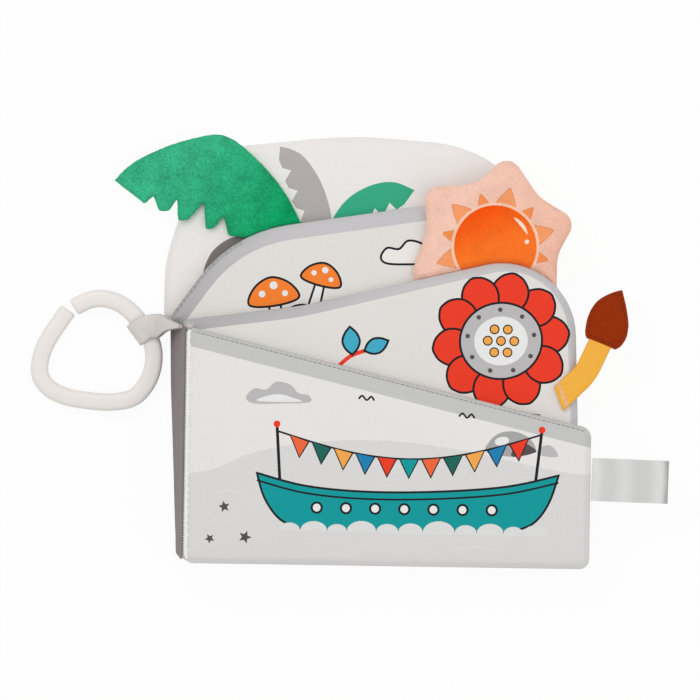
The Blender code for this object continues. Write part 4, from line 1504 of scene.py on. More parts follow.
@dataclass
class Finishes:
    """Every material of the book, by its use."""

    effects: SharedEffects = field(default_factory=SharedEffects)

    def __post_init__(self) -> None:
        """Builds the materials."""
        effects = self.effects
        self.printed = ClothFinish("printed_canvas", unevenness=0.04).build(effects)
        self.taupe = ClothFinish("taupe_canvas", "8a8183", unevenness=0.16, relief=0.0001).build(effects)
        self.sun = PlushFinish("peach_plush", unevenness=0.26, sheen=0.25, tint="ffe9df").build(effects)
        self.frond = PlushFinish("green_plush", unevenness=0.85, sheen=0.12, tint="9fe8c4").build(effects)
        self.felt = RibbedFinish(
            "brown_twill", "a43402", pitch=0.0009, turn=-55.0, unevenness=0.5, relief=0.0003, roughness=0.95,
            sheen=0.04, specular=0.1,
        ).build(effects)
        self.strap = RibbedFinish(
            "yellow_ribbon", "ffbb42", pitch=0.0006, turn=-54.0, unevenness=0.05
        ).build(effects)
        # The satin's colour comes from the label's ink attribute, which holds painted sheen and painted
        # shade.
        self.satin = RibbedFinish(
            "white_satin", "dfdfde", pitch=0.0006, turn=90.0, unevenness=0.03, relief=0.00004, roughness=0.3,
            sheen=0.0, specular=0.6, by_ink=True,
        ).build(effects)
        self.webbing = RibbedFinish(
            "grey_webbing", "e5dfdb", pitch=0.00085, unevenness=0.18, relief=0.0002, by_map=True
        ).build(effects)
        self.thread = self.thread_finish("white_thread", "e9e7e4")
        self.pink_thread = self.thread_finish("pink_thread", "fde6d8")
        self.pale_thread = self.thread_finish("pale_thread", "d6d5d4")
        self.dark_thread = self.thread_finish("grey_thread", "77767a")
        self.brown_thread = self.thread_finish("brown_thread", "5b1f04")
        self.ring = MouldedFinish("ring_plastic", "eee9e5", clear=0.35).build(effects)
        self.film = MouldedFinish("crinkle_film", "dfe3e5", roughness=0.2).build(effects)

    def thread_finish(self, name: str, colour: str) -> Material:
        """The twisted sewing thread in one colour."""
        return RibbedFinish(name, colour, pitch=0.0004, turn=30.0, unevenness=0.1).build(self.effects)


# Pieces


def stitched(name: str, path: Sequence[Vector], length: float, gap: float, radius: float) -> Object:
    """A row of thread stitches along a path.

    Args:
        name: The object's name.
        path: The path's points, in the plan.
        length: Length of one stitch.
        gap: Distance between two stitches.
        radius: The thread's radius.

    Returns:
        The object.
    """
    runs = [0.0]
    for a, b in zip(path, path[1:]):
        runs.append(runs[-1] + (b - a).length)
    first = np.arange(0.0, runs[-1], length + gap)
    starts, ends = (
        np.array([np.interp(at, runs, [p[k] for p in path]) for k in range(3)]).T
        for at in (first, first + length)
    )
    mesh = bmesh.new()
    for a, b in zip(starts, ends):
        start, end = Vector(a), Vector(b)
        run = end - start
        if run.length < 0.4 * length:
            continue
        turn = run.to_track_quat("X", "Z").to_matrix().to_4x4()
        shape = Matrix.Diagonal((run.length / 2 + 0.1, radius * 1.15, radius, 1.0))
        placing = Matrix.Translation((start + end) / 2) @ turn @ shape
        bmesh.ops.create_icosphere(mesh, subdivisions=1, radius=1.0, matrix=placing)
    return finished(mesh, name, sharp=80.0)


def knot(finishes: Finishes) -> None:
    """Ties the leaves' heads together with a few loose turns of white thread.

    Args:
        finishes: The book's materials.
    """
    ends = (
        ((0.4, 116.6, 30.6), (3.2, 120.0, 26.6)), ((-0.8, 117.4, 29.9), (3.4, 118.6, 28.6)),
        ((1.6, 116.0, 31.0), (1.0, 120.2, 26.2)), ((-1.6, 118.6, 28.6), (2.6, 117.4, 30.2)),
        ((3.4, 116.6, 31.0), (-0.4, 119.6, 26.6)),
    )
    bow = [Vector((0.0, 0.0, 0.7 * math.sin(math.pi * k / 8))) for k in range(9)]
    for index, (start, end) in enumerate(ends):
        path = [Vector(start).lerp(Vector(end), k / 8) + bow[k] for k in range(9)]
        turn = stitched(f"head_knot_{index + 1}", path, 1.3, -0.2, 0.24)
        place(turn, "cover", finishes.thread, "printed_cloth")


@dataclass
class Leaf:
    """One padded leaf: printed front cloth, printed rear cloth and wadding, sewn round its edge.

    A pucker is given by its height, its pitch along the seam and its reach inwards.
    """

    level: Level
    body: str
    outline: list[Point]
    ground: Ink
    front_print: list[Patch]
    rear_print: list[Patch]
    # Painted shade laid over the front's ground, if any.
    fade: Fade | None = None
    crown: tuple[Point, Point] = ((0.62, 1.5), (0.38, 15.0))
    channel: float = 1.5
    channel_width: float = 0.5
    channel_depth: float = 0.10
    rear_channel_depth: float = 0.08
    creases: tuple[Point, Point] = ((0.30, 34.0), (0.12, 11.0))
    crease_inset: float = 5.0
    fold_depth: float = 0.16
    fold_width: float = 0.22
    fold_spacing: float = 46.0
    pucker: tuple[float, float, float] = (0.10, 3.8, 2.2)
    rear_pucker: tuple[float, float, float] = (0.08, 3.6, 1.6)
    hem: float = 0.4

    def front(self, spots: Spots) -> np.ndarray:
        """Height of the front: a seam edge, a stitched channel and a soft crown with faint creases.

        Args:
            spots: The places.

        Returns:
            A height for each place.
        """
        edge, seed = spots.edge, 3.0 * self.level.value
        crown = swell(edge, self.crown) - self.channel_depth * welt(edge, self.channel, self.channel_width)
        (broad, broad_length), (fine, fine_length) = self.creases
        crease = broad * spots.ripple(broad_length, seed) + fine * spots.ripple(fine_length, seed + 1.0)
        near_fold = self.fold_width - np.abs(spots.ripple(self.fold_spacing, seed + 2.0))
        fold = self.fold_depth * np.maximum(0.0, near_fold) / self.fold_width
        waver = 3.0 * ripple(spots.along, 0 * spots.along, 15.0, seed)
        height, pitch, reach = self.pucker
        pucker = height * np.sin(2 * math.pi * spots.along / pitch + waver) * np.exp(-edge / reach)
        soft = (crease - fold) * rise(edge, self.crease_inset)
        return self.level.seam + CROWN_HEIGHT * crown + soft + pucker * rise(edge, self.hem)

    def rear(self, spots: Spots) -> np.ndarray:
        """Height of the rear, which lies flat on what is under it.

        Args:
            spots: The places.

        Returns:
            A height for each place.
        """
        edge, (height, pitch, reach) = spots.edge, self.rear_pucker
        dish = rise(edge, 1.0) - self.rear_channel_depth * welt(edge, self.channel, self.channel_width)
        pucker = height * np.sin(2 * math.pi * spots.along / pitch) * np.exp(-edge / reach)
        return self.level.seam - LEAF_SEAM_HEIGHT * dish + pucker * rise(edge, self.hem)

    def seam_path(self, inset: float, start: Point, end: Point, step: float = 0.8) -> list[Vector]:
        """The path of a stitch line on the front.

        Args:
            inset: Distance in from the outline.
            start: A place near the line's start.
            end: A place near its end, anticlockwise from the start.
            step: Distance between the path's points.

        Returns:
            The path's points, just above the cloth.
        """
        line = np.array(evenly(grown(evenly(self.outline, step), -inset), step))
        first, last = (int(np.linalg.norm(line - np.array(spot), axis=1).argmin()) for spot in (start, end))
        part = np.roll(line, -first, axis=0)[: (last - first) % len(line) + 1]
        return laid(part, evenly(self.outline, 1.3), self.front, 0.05)

    def build(self, finishes: Finishes) -> None:
        """Makes the leaf's pad.

        Args:
            finishes: The book's materials.
        """
        pad = Pad(
            f"{self.body}_pad", self.outline, self.front, self.rear, (self.ground, Ink.REAR),
            (self.front_print, self.rear_print), fade=self.fade,
        )
        nodes = [f"{self.body}_{part}" for part in ("front_cloth", "rear_cloth", "wadding")]
        obj = place(pad.build(), self.body, finishes.printed, "printed_cloth", *nodes)

    def stitch(
        self, name: str, inset: float, start: Point, end: Point, thread: Material, **sizes: float
    ) -> None:
        """Sews a line of thread along part of the edge."""
        obj = stitched(f"{self.body}_{name}", self.seam_path(inset, start, end), **sizes)
        place(obj, self.body, thread, "printed_cloth")


@dataclass
class Spine:
    """The taupe cloth round the gutter, in three folds between the four seams."""

    foot: float = 2.0
    head: float = 118.5
    thickness: float = 0.7
    spread: float = 0.8
    foot_lift: float = 2.4

    def fold(self, low: Level, high: Level, finishes: Finishes) -> None:
        """Makes the fold between two leaves' seams.

        Args:
            low: The lower leaf.
            high: The leaf above it.
            finishes: The book's materials.
        """
        mesh = bmesh.new()
        bmesh.ops.create_grid(mesh, x_segments=8, y_segments=60, size=0.5)
        for vert in mesh.verts:
            across, up = vert.co.x + 0.5, vert.co.y + 0.5
            height = self.foot + (self.head - self.foot) * up
            lowness = 1.0 - (low.value + across) / 3.0
            edge = low.gutter(height) * (1 - across) + high.gutter(height) * across - SPINE_OFF
            edge -= self.spread * min(1.0, (self.head - height) / 30.0) * lowness
            crumple = 0.35 * noise.noise(Vector((across * 1.5 + low.value, height / 14.0, 2.0)))
            bulge = 0.55 * math.sin(math.pi * across) + crumple * math.sin(math.pi * across)
            lift = self.foot_lift * math.exp(-(height - self.foot) / 2.2) * lowness
            vert.co = Vector((edge - bulge, height + lift, low.seam + (high.seam - low.seam) * across))
        bmesh.ops.recalc_face_normals(mesh, faces=mesh.faces)
        bmesh.ops.solidify(mesh, geom=mesh.faces[:], thickness=self.thickness)
        obj = finished(mesh, f"spine_fold_{low.value + 1}")
        nodes = ("spine_cloth",) if low is Level.BACK else ()
        place(obj, "", finishes.taupe, "taupe_cloth", *nodes)
        middle = (self.foot + self.head) / 2
        start, end = (
            tuple(PLAN_TO_FRAME @ Vector((leaf.gutter(middle) - SPINE_OFF, middle, leaf.seam)))
            for leaf in (low, high)
        )
        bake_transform(obj)

    def build(self, finishes: Finishes) -> None:
        """Makes the three folds.

        Args:
            finishes: The book's materials.
        """
        levels = list(Level)
        for low, high in zip(levels, levels[1:]):
            self.fold(low, high, finishes)


@dataclass
class Plush:
    """Two layers of plush round wadding, with a foot that a leaf over it presses flat.

    Room is the height left under that leaf, which grows from an inset inside the leaf's edge. The crown
    has a steep and a soft share with their reaches, and the waves a height, a length and a seed.
    """

    over: Callable[[], list[Point]]
    room: float
    room_inset: float
    room_slope: float
    floor: float
    seam: float
    top: float
    crown: tuple[Point, Point]
    rear_reach: float
    waves: tuple[float, float, float]
    waves_above: float

    def ceiling(self, spots: Spots) -> np.ndarray:
        """Height under which the plush stays, because of the leaf over it.

        Args:
            spots: The places.

        Returns:
            A height for each place.
        """
        plan, outline = np.stack([spots.x, spots.y], axis=1), self.over()
        outside = edge_distance(plan, outline)[0] * np.where(inside(plan, outline), -1.0, 1.0)
        return self.room + np.maximum(0.0, outside + self.room_inset) * self.room_slope

    def front(self, spots: Spots) -> np.ndarray:
        """Height of the front plush.

        Args:
            spots: The places.

        Returns:
            A height for each place.
        """
        cap = self.ceiling(spots)
        base = np.minimum(self.seam, cap - PRESSED_SEAM)
        height, length, seed = self.waves
        free = np.minimum(1.0, np.maximum(0.0, cap - self.waves_above) / 3.0)
        top = np.minimum(self.top, cap) + height * spots.ripple(length, seed) * free
        return base + (top - base) * swell(spots.edge, self.crown)

    def rear(self, spots: Spots) -> np.ndarray:
        """Height of the rear plush."""
        base = np.minimum(self.seam, self.ceiling(spots) - PRESSED_SEAM)
        return base - (base - self.floor) * rise(spots.edge, self.rear_reach)


@dataclass
class Sun(Plush):
    """The plush sun, its foot sewn flat under the second leaf."""

    centre: Point = (152.3, 163.3)
    face_centre: Point = (153.0, 160.0)
    reach: float = 44.0
    tips: tuple[Point, ...] = (
        (14.4, 0.968), (81.4, 1.016), (144.0, 1.0), (207.4, 1.093), (261.0, 1.0), (316.1, 1.0),
    )
    valleys: tuple[Point, ...] = (
        (44.6, 0.709), (107.3, 0.657), (172.1, 0.764), (236.2, 0.72), (289.1, 0.71), (347.8, 0.739),
    )
    over: Callable[[], list[Point]] = second_outline
    room: float = 17.35
    room_inset: float = 1.6
    room_slope: float = 1.5
    floor: float = 16.5
    seam: float = 18.7
    top: float = 22.9
    crown: tuple[Point, Point] = ((0.70, 1.7), (0.30, 8.0))
    rear_reach: float = 1.6
    waves: tuple[float, float, float] = (0.25, 14.0, 5.0)
    waves_above: float = 19.0
    hinge: Point = (55.044, 132.787)
    along: Point = (0.972407, 0.233292)

    def outline(self) -> list[Point]:
        """Six uneven points with valleys between them.

        Returns:
            The outline's points.
        """
        corners = []
        for tip, valley in zip(self.tips, self.valleys):
            for (turn, share), radius in ((tip, 7.5), (valley, 20.0)):
                corners.append((*around(self.centre, self.reach * share, turn), radius))
        return rounded(corners)

    def build(self, finishes: Finishes) -> None:
        """Makes the sun.

        Args:
            finishes: The book's materials.
        """
        # The sun's ground fades to painted shade towards the lower right, lighter at the upper left where the
        # light falls.
        pad = Pad(
            "plush_sun", self.outline(), self.front, self.rear, (Ink.SUN_GROUND, Ink.SUN_GROUND),
            (Artwork.sun(self.face_centre), []), edge_step=0.9, mesh_step=1.5,
            fade=Fade(Ink.SUN_PAINTED_SHADE, (128.0, 176.0), (176.0, 140.0)),
        )
        nodes = ("sun_front_plush", "sun_rear_plush", "sun_wadding", "sun_foot")
        obj = place(pad.build(), "", finishes.sun, "peach_plush", *nodes)
        bend(obj, self.hinge, self.along, self.floor)


def bend(obj: Object, hinge: Point, along: Point, height: float) -> None:
    """Bakes a flap's placing into its mesh; the flap is not bent about its sewn foot.

    Args:
        obj: The flap.
        hinge: A place on the hinge, in the plan.
        along: The hinge's heading.
        height: The hinge's height.
    """
    out, middle = Vector((-along[1], along[0], 0.0)), Vector((*hinge, height))
    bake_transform(obj)


@dataclass
class Frond(Plush):
    """The plush palm frond, its foot sewn under the third leaf."""

    tip: Point = (-38.0, 190.4)
    length: float = 93.0
    depth: float = 44.0
    upper: tuple[Point, ...] = (
        (0.0, 0.0), (0.095, 0.20), (0.265, 0.385), (0.44, 0.505), (0.555, 0.54), (0.63, 0.49),
        (0.70, 0.39), (0.82, 0.15), (0.92, -0.115), (1.0, -0.42), (1.06, -0.72),
    )
    lower: tuple[tuple[float, float, float], ...] = (
        (36.0, 157.5, 0.5), (28.9, 162.5, 1.0), (19.4, 163.8, 1.0), (17.0, 173.3, 0.3), (12.4, 167.4, 1.0),
        (8.0, 166.6, 1.2), (7.0, 180.4, 0.3), (-0.8, 171.3, 1.2), (-6.0, 170.5, 1.4), (-6.4, 181.9, 0.3),
        (-10.4, 175.5, 1.2), (-15.4, 175.4, 1.4), (-18.4, 182.9, 0.3), (-22.7, 178.9, 1.2),
    )
    over: Callable[[], list[Point]] = third_outline
    room: float = 8.6
    room_inset: float = 1.4
    room_slope: float = 1.4
    floor: float = 7.7
    seam: float = 9.6
    top: float = 12.3
    crown: tuple[Point, Point] = ((0.65, 1.0), (0.35, 5.0))
    rear_reach: float = 1.0
    waves: tuple[float, float, float] = (0.35, 16.0, 8.0)
    waves_above: float = 10.0
    hinge: Point = (26.994, 167.169)
    along: Point = (0.947601, 0.319456)

    def outline(self) -> list[Point]:
        """The frond anticlockwise, with blunt teeth and a ragged pile edge.

        Returns:
            The outline's points.
        """
        upper = smooth_line(self.upper, 10)
        corners = [(self.tip[0] + u * self.length, self.tip[1] + v * self.depth, 0.0) for u, v in upper]
        corners = [*corners, *self.lower][::-1]
        rng = random.Random(4)
        line = evenly(rounded(corners, 15.0), 0.5)
        return [(x + rng.uniform(-0.15, 0.15), y + rng.uniform(-0.15, 0.15)) for x, y in line]

    def build(self, finishes: Finishes) -> None:
        """Makes the frond.

        Args:
            finishes: The book's materials.
        """
        # A thin dark stroke of painted shade where the plush frond folds.
        fold = stroke([(53.4, 179.6), (54.5, 175.6), (56.0, 171.8), (57.2, 169.0)], 0.6)
        pad = Pad(
            "plush_frond", self.outline(), self.front, self.rear, (Ink.FROND_TIP, Ink.FROND_TIP),
            (patch(fold, Ink.FROND_FOLD_PAINTED_SHADE), []), rings=(0.3, 0.7, 1.2, 1.9), edge_step=0.55, mesh_step=1.5,
            fade=Fade(Ink.FROND_BASE, (-2.0, 196.0), (42.0, 166.0)),
        )
        nodes = ("frond_front_plush", "frond_rear_plush", "frond_wadding", "frond_foot")
        obj = place(pad.build(), "", finishes.frond, "green_plush", *nodes)
        bend(obj, self.hinge, self.along, self.floor)


@dataclass
class Tail:
    """The tail: a folded ribbon on the second leaf, with its end between two felt drops."""

    foot: Point = (185.6, 84.4)
    foot_slant: float = 22.6
    width: float = 11.8
    length: float = 39.1
    start_turn: float = 44.0
    end_turn: float = 65.5
    felt_turn: float = 68.8
    floor: float = 24.35
    thickness: float = 1.8
    felt_length: float = 29.0
    felt_width: float = 21.5
    felt_overlap: float = 4.0
    half_ribbon: float = 0.9
    half_felt: float = 1.3
    felt_swell_inset: float = 1.2
    stitch_inset: float = 1.8
    foot_stitches: Point = (2.6, 3.4)
    left_half: tuple[Point, ...] = (
        (0.0, 0.70), (0.07, 0.84), (0.158, 0.92), (0.27, 0.985), (0.385, 1.01), (0.552, 0.97),
        (0.716, 0.79), (0.884, 0.40), (1.0, 0.0),
    )
    right_half: tuple[Point, ...] = (
        (0.0, 0.74), (0.06, 0.88), (0.118, 0.95), (0.20, 1.0), (0.29, 1.01), (0.40, 0.95),
        (0.511, 0.85), (0.727, 0.52), (0.876, 0.24), (1.0, 0.0),
    )

    def heading(self, share: float) -> float:
        """The ribbon's heading in radians, which turns most where it creases."""
        turned = min(1.0, max(0.0, (share - 0.34) / 0.26))
        return math.radians(self.start_turn + (self.end_turn - self.start_turn) * turned)

    def along(self, share: float) -> tuple[Vector, float]:
        """A place on the ribbon's middle line.

        Args:
            share: Share of the ribbon's length from its foot.

        Returns:
            The place and the heading there.
        """
        spot, steps = Vector(self.foot), 40
        for k in range(steps):
            a = self.heading(share * (k + 0.5) / steps)
            spot += Vector((math.cos(a), math.sin(a))) * self.length * share / steps
        return spot, self.heading(share)

    @property
    def slant(self) -> float:
        """How far the sewn end runs back for each millimetre across."""
        return math.tan(math.radians(self.foot_slant))

    def ribbon_outline(self) -> list[Point]:
        """The ribbon's outline in the plan.

        Returns:
            The outline's points.
        """
        right, left = [], []
        for k in range(33):
            spot, heading = self.along(k / 32)
            ahead = Vector((math.cos(heading), math.sin(heading)))
            side = Vector((ahead.y, -ahead.x)) * self.width / 2
            back = ahead * self.slant * max(0.0, 1 - k / 4) * self.width / 2
            right.append(tuple(spot + side - back))
            left.append(tuple(spot - side + back))
        return right + left[::-1]

    def felt_outline(self) -> list[Point]:
        """The felt drop's outline in the plan.

        Returns:
            The outline's points.
        """
        forward = direction(self.felt_turn)
        side = Vector((forward.y, -forward.x)) * self.felt_width / 2
        start = self.along(1.0)[0] - forward * self.felt_overlap
        right, left = smooth_line(self.right_half), smooth_line(self.left_half)
        drop = [start + forward * self.felt_length * a + side * w for a, w in right]
        drop += [start + forward * self.felt_length * a - side * w for a, w in left[-2::-1]]
        return [tuple(p) for p in drop]

    @property
    def middle(self) -> float:
        """Height of the tail's middle."""
        return self.floor + self.thickness / 2

    def ribbon_front(self, spots: Spots) -> np.ndarray:
        """Height of the ribbon's upper face, dipped where it is sewn down.

        Args:
            spots: The places.

        Returns:
            A height for each place.
        """
        start, heading = self.along(0.0)
        off = np.stack([spots.x, spots.y], axis=1) - np.array(start)
        run = off @ np.array([math.cos(heading), math.sin(heading)])
        run += self.slant * off @ np.array([math.sin(heading), -math.cos(heading)])
        dip = 0.35 * welt(run, 3.2, 0.9) * rise(spots.edge, 0.4)
        lift = self.half_ribbon * rise(spots.edge, 0.22)
        return self.middle + lift - dip + 0.1 * spots.ripple(6.0, 1.0)

    def ribbon_rear(self, spots: Spots) -> np.ndarray:
        """Height of the ribbon's lower face."""
        return self.middle - self.half_ribbon * rise(spots.edge, 0.22)

    def felt_swell(self, spots: Spots) -> np.ndarray:
        """Half thickness of the felts: a cut edge, and a soft rise from the stitches inwards."""
        inner = np.maximum(0.0, spots.edge - self.felt_swell_inset)
        return self.half_felt * rise(spots.edge, 0.15) + self.half_felt * rise(inner, 2.2)

    def felt_front(self, spots: Spots) -> np.ndarray:
        """Height of the upper felt, dipped by its stitches."""
        dip = 0.22 * welt(spots.edge, 1.7, 0.35)
        return self.middle + self.felt_swell(spots) - dip + 0.12 * spots.ripple(5.0, 2.0)

    def felt_rear(self, spots: Spots) -> np.ndarray:
        """Height of the lower felt."""
        return self.middle - self.felt_swell(spots)

    def build(self, finishes: Finishes) -> None:
        """Makes the ribbon, the felt drop and their stitches.

        Args:
            finishes: The book's materials.
        """
        ribbon = Pad(
            "tail_ribbon", self.ribbon_outline(), self.ribbon_front, self.ribbon_rear, (Ink.AMBER, Ink.AMBER),
            rings=(0.12, 0.3, 0.6, 1.1), edge_step=0.5, mesh_step=1.0,
        )
        place(ribbon.build(), "tail", finishes.strap, "yellow_ribbon", "tail_strap")
        felt = Pad(
            "tail_felt", self.felt_outline(), self.felt_front, self.felt_rear, (Ink.FELT, Ink.FELT),
            rings=(0.1, 0.25, 0.5, 1.0, 1.4, 1.8, 2.4), edge_step=0.5, mesh_step=1.0,
        )
        place(felt.build(), "tail", finishes.felt, "brown_felt", "tail_felt_front", "tail_felt_rear")
        self.sew_felt(finishes.brown_thread)
        self.sew_ribbon(finishes.pink_thread)

    def sew_felt(self, thread: Material) -> None:
        """Sews round the felt drop.

        Args:
            thread: The thread's material.
        """
        line = evenly(grown(evenly(self.felt_outline(), 0.5), -self.stitch_inset), 0.5)
        path = laid(np.array(line + [line[0]]), self.felt_outline(), self.felt_front, 0.02)
        place(stitched("tail_felt_stitches", path, 1.7, 1.0, 0.17), "tail", thread, "brown_felt")

    def sew_ribbon(self, thread: Material) -> None:
        """Sews the ribbon's foot down by two slanted rows.

        Args:
            thread: The thread's material.
        """
        spot, heading = self.along(0.0)
        ahead = Vector((math.cos(heading), math.sin(heading)))
        side = Vector((ahead.y, -ahead.x))
        reach = [(self.width / 2 - 0.5) * (k / 10.0 - 1.0) for k in range(21)]
        for index, run in enumerate(self.foot_stitches):
            row = np.array([tuple(spot + side * w + ahead * (run - self.slant * w)) for w in reach])
            path = laid(row, self.ribbon_outline(), self.ribbon_front, 0.14)
            row_of_thread = stitched(f"tail_ribbon_stitches_{index + 1}", path, 3.4, -0.5, 0.24)
            place(row_of_thread, "tail", thread, "yellow_ribbon")


@dataclass
class Label:
    """The bare satin label: a ribbon folded at its outer end, its two ends in the cover's seam."""

    width: float = 21.4
    length: float = 38.6
    height_on_cover: float = 44.8
    fold_radius: float = 0.9
    root_radius: float = 0.35
    root_length: float = 6.0
    thickness: float = 0.3
    turn: float = -1.4
    out: float = 0.5
    # Painted sheen and painted shade along the satin, by distance from the seam: lighter streaks and a darker
    # folded end.
    painted_sheen_and_shade: tuple[tuple[float, float], ...] = (
        (0.0, 0.92), (3.0, 1.02), (6.0, 0.88), (11.0, 0.86), (17.0, 1.0), (24.0, 0.84), (30.0, 0.87),
        (34.0, 1.02), (36.4, 0.94), (37.6, 0.62), (38.6, 0.5),
    )

    def profile(self) -> list[Point]:
        """The ribbon from the side: from its upper root, round the fold, to its lower root.

        Returns:
            Distance from the seam and height above it at each row.
        """
        root, radius = self.root_radius, self.fold_radius
        run = self.length - radius - self.thickness
        upper = [(0.0, root), (2.0, root + 0.06), (4.0, root + 0.3), (self.root_length, radius)]
        upper += [(self.root_length + (run - self.root_length) * k / 14, radius) for k in range(1, 14)]
        turns = [math.pi * (0.5 - k / 8) for k in range(9)]
        fold = [(run + radius * math.cos(a), radius * math.sin(a)) for a in turns]
        return upper + fold + [(x, -z) for x, z in upper[::-1]]

    def build(self, finishes: Finishes) -> None:
        """Makes the folded ribbon.

        Args:
            finishes: The book's materials.
        """
        profile = self.profile()
        mesh = bmesh.new()
        bmesh.ops.create_grid(mesh, x_segments=len(profile) - 1, y_segments=14, size=0.5)
        for vert in mesh.verts:
            x, z = profile[round((vert.co.x + 0.5) * (len(profile) - 1))]
            y = vert.co.y * self.width
            wavy = 0.22 * math.sin(x / 9.0 + 0.6) * min(1.0, x / 8.0)
            wavy += 0.25 * (y / self.width) * math.sin(x / 12.0)
            vert.co = Vector((x, y, z + wavy))
        # The ink attribute holds the painted sheen and painted shade, not a print.
        layer = mesh.verts.layers.float_color.new("ink")
        tone, (places, shares) = np.array(linear("dfdfde")[:3]), zip(*self.painted_sheen_and_shade)
        for vert in mesh.verts:
            share = np.interp(vert.co.x + 0.12 * abs(vert.co.y), places, shares)
            vert[layer] = (*(tone * share), 1.0)
        seat = Vector((202.0 + self.out, self.height_on_cover, Level.COVER.seam))
        turn = Matrix.Translation(seat) @ Matrix.Rotation(math.radians(self.turn), 4, "Z")
        bmesh.ops.transform(mesh, matrix=turn, verts=mesh.verts)
        bmesh.ops.recalc_face_normals(mesh, faces=mesh.faces)
        bmesh.ops.solidify(mesh, geom=mesh.faces[:], thickness=self.thickness)
        obj = place(finished(mesh, "folded_label"), "label", finishes.satin, "white_satin", "satin_label")


@dataclass
class Link:
    """The open plastic ring: one soft-cornered bar with rounded ends."""

    centre: Point = (-45.3, 105.3)
    length: float = 55.8
    breadth: float = 52.0
    bar_width: float = 8.8
    bar_height: float = 7.2
    height: float = 5.0
    end_radius: float = 1.1
    squareness: float = 3.2
    sides: int = 32
    shares: tuple[Point, ...] = (
        (-0.219, 0.406), (-0.115, 0.476), (0.025, 0.506), (0.168, 0.471), (0.281, 0.393), (0.364, 0.294),
        (0.448, 0.182), (0.507, 0.025), (0.507, -0.151), (0.453, -0.316), (0.334, -0.47), (0.11, -0.507),
        (-0.096, -0.489), (-0.279, -0.46), (-0.437, -0.384), (-0.530, -0.245), (-0.509, -0.048),
        (-0.427, 0.145), (-0.270, 0.381),
    )

    def path(self) -> list[Point]:
        """The bar's middle line: arcs whose tangents meet halfway between the given points.

        Returns:
            The line's points.
        """
        (x, y), (long, wide) = self.centre, (self.length, self.breadth)
        points = [Vector((x + u * long, y + v * wide)) for u, v in self.shares]
        knots = [points[0]] + [(a + b) / 2 for a, b in zip(points[1:-1], points[2:-1])] + [points[-1]]
        made: list[Point] = []
        for start, middle, end in zip(knots, points[1:-1], knots[1:]):
            for k in range(12):
                t = k / 12
                made.append(tuple(start * (1 - t) ** 2 + middle * 2 * t * (1 - t) + end * t * t))
        return made + [tuple(points[-1])]

    def section(self, inset: float) -> list[Point]:
        """The bar's cross-section, drawn in by a distance.

        Args:
            inset: The distance.

        Returns:
            The section's points.
        """
        made = []
        for k in range(self.sides):
            a = 2 * math.pi * k / self.sides
            u, v = (math.copysign(abs(w) ** (2 / self.squareness), w) for w in (math.cos(a), math.sin(a)))
            made.append((u * (self.bar_width / 2 - inset), v * (self.bar_height / 2 - inset)))
        return made

    def build(self, finishes: Finishes) -> None:
        """Sweeps the section along the path and rounds its two ends.

        Args:
            finishes: The book's materials.
        """
        line = np.array(self.path())
        runs = np.concatenate([[0.0], np.cumsum(np.linalg.norm(np.diff(line, axis=0), axis=1))])
        radius, length = self.end_radius, runs[-1]
        ease = [math.radians(15.0 * k) for k in range(7)]
        ends = [(radius * (1 - math.cos(a)), radius * (1 - math.sin(a))) for a in ease]
        middle = [(at, 0.0) for at in np.linspace(radius, length - radius, 200)[1:-1].tolist()]
        mesh = bmesh.new()
        hoops = []
        for at, inset in ends + middle + [(length - at, inset) for at, inset in ends[::-1]]:
            here, back, ahead = (
                Vector([np.interp(at + step, runs, line[:, k]) for k in range(2)])
                for step in (0.0, -0.4, 0.4)
            )
            side = (ahead - back).normalized().orthogonal()
            hoops.append([
                mesh.verts.new((*(here + side * u), self.height + v)) for u, v in self.section(inset)
            ])
        for low, high in zip(hoops, hoops[1:]):
            for k in range(self.sides):
                after = (k + 1) % self.sides
                mesh.faces.new((low[k], low[after], high[after], high[k]))
        mesh.faces.new(hoops[0][::-1])
        mesh.faces.new(hoops[-1])
        place(finished(mesh, "open_ring", sharp=60.0), "ring", finishes.ring, "ring_plastic", "plastic_ring")


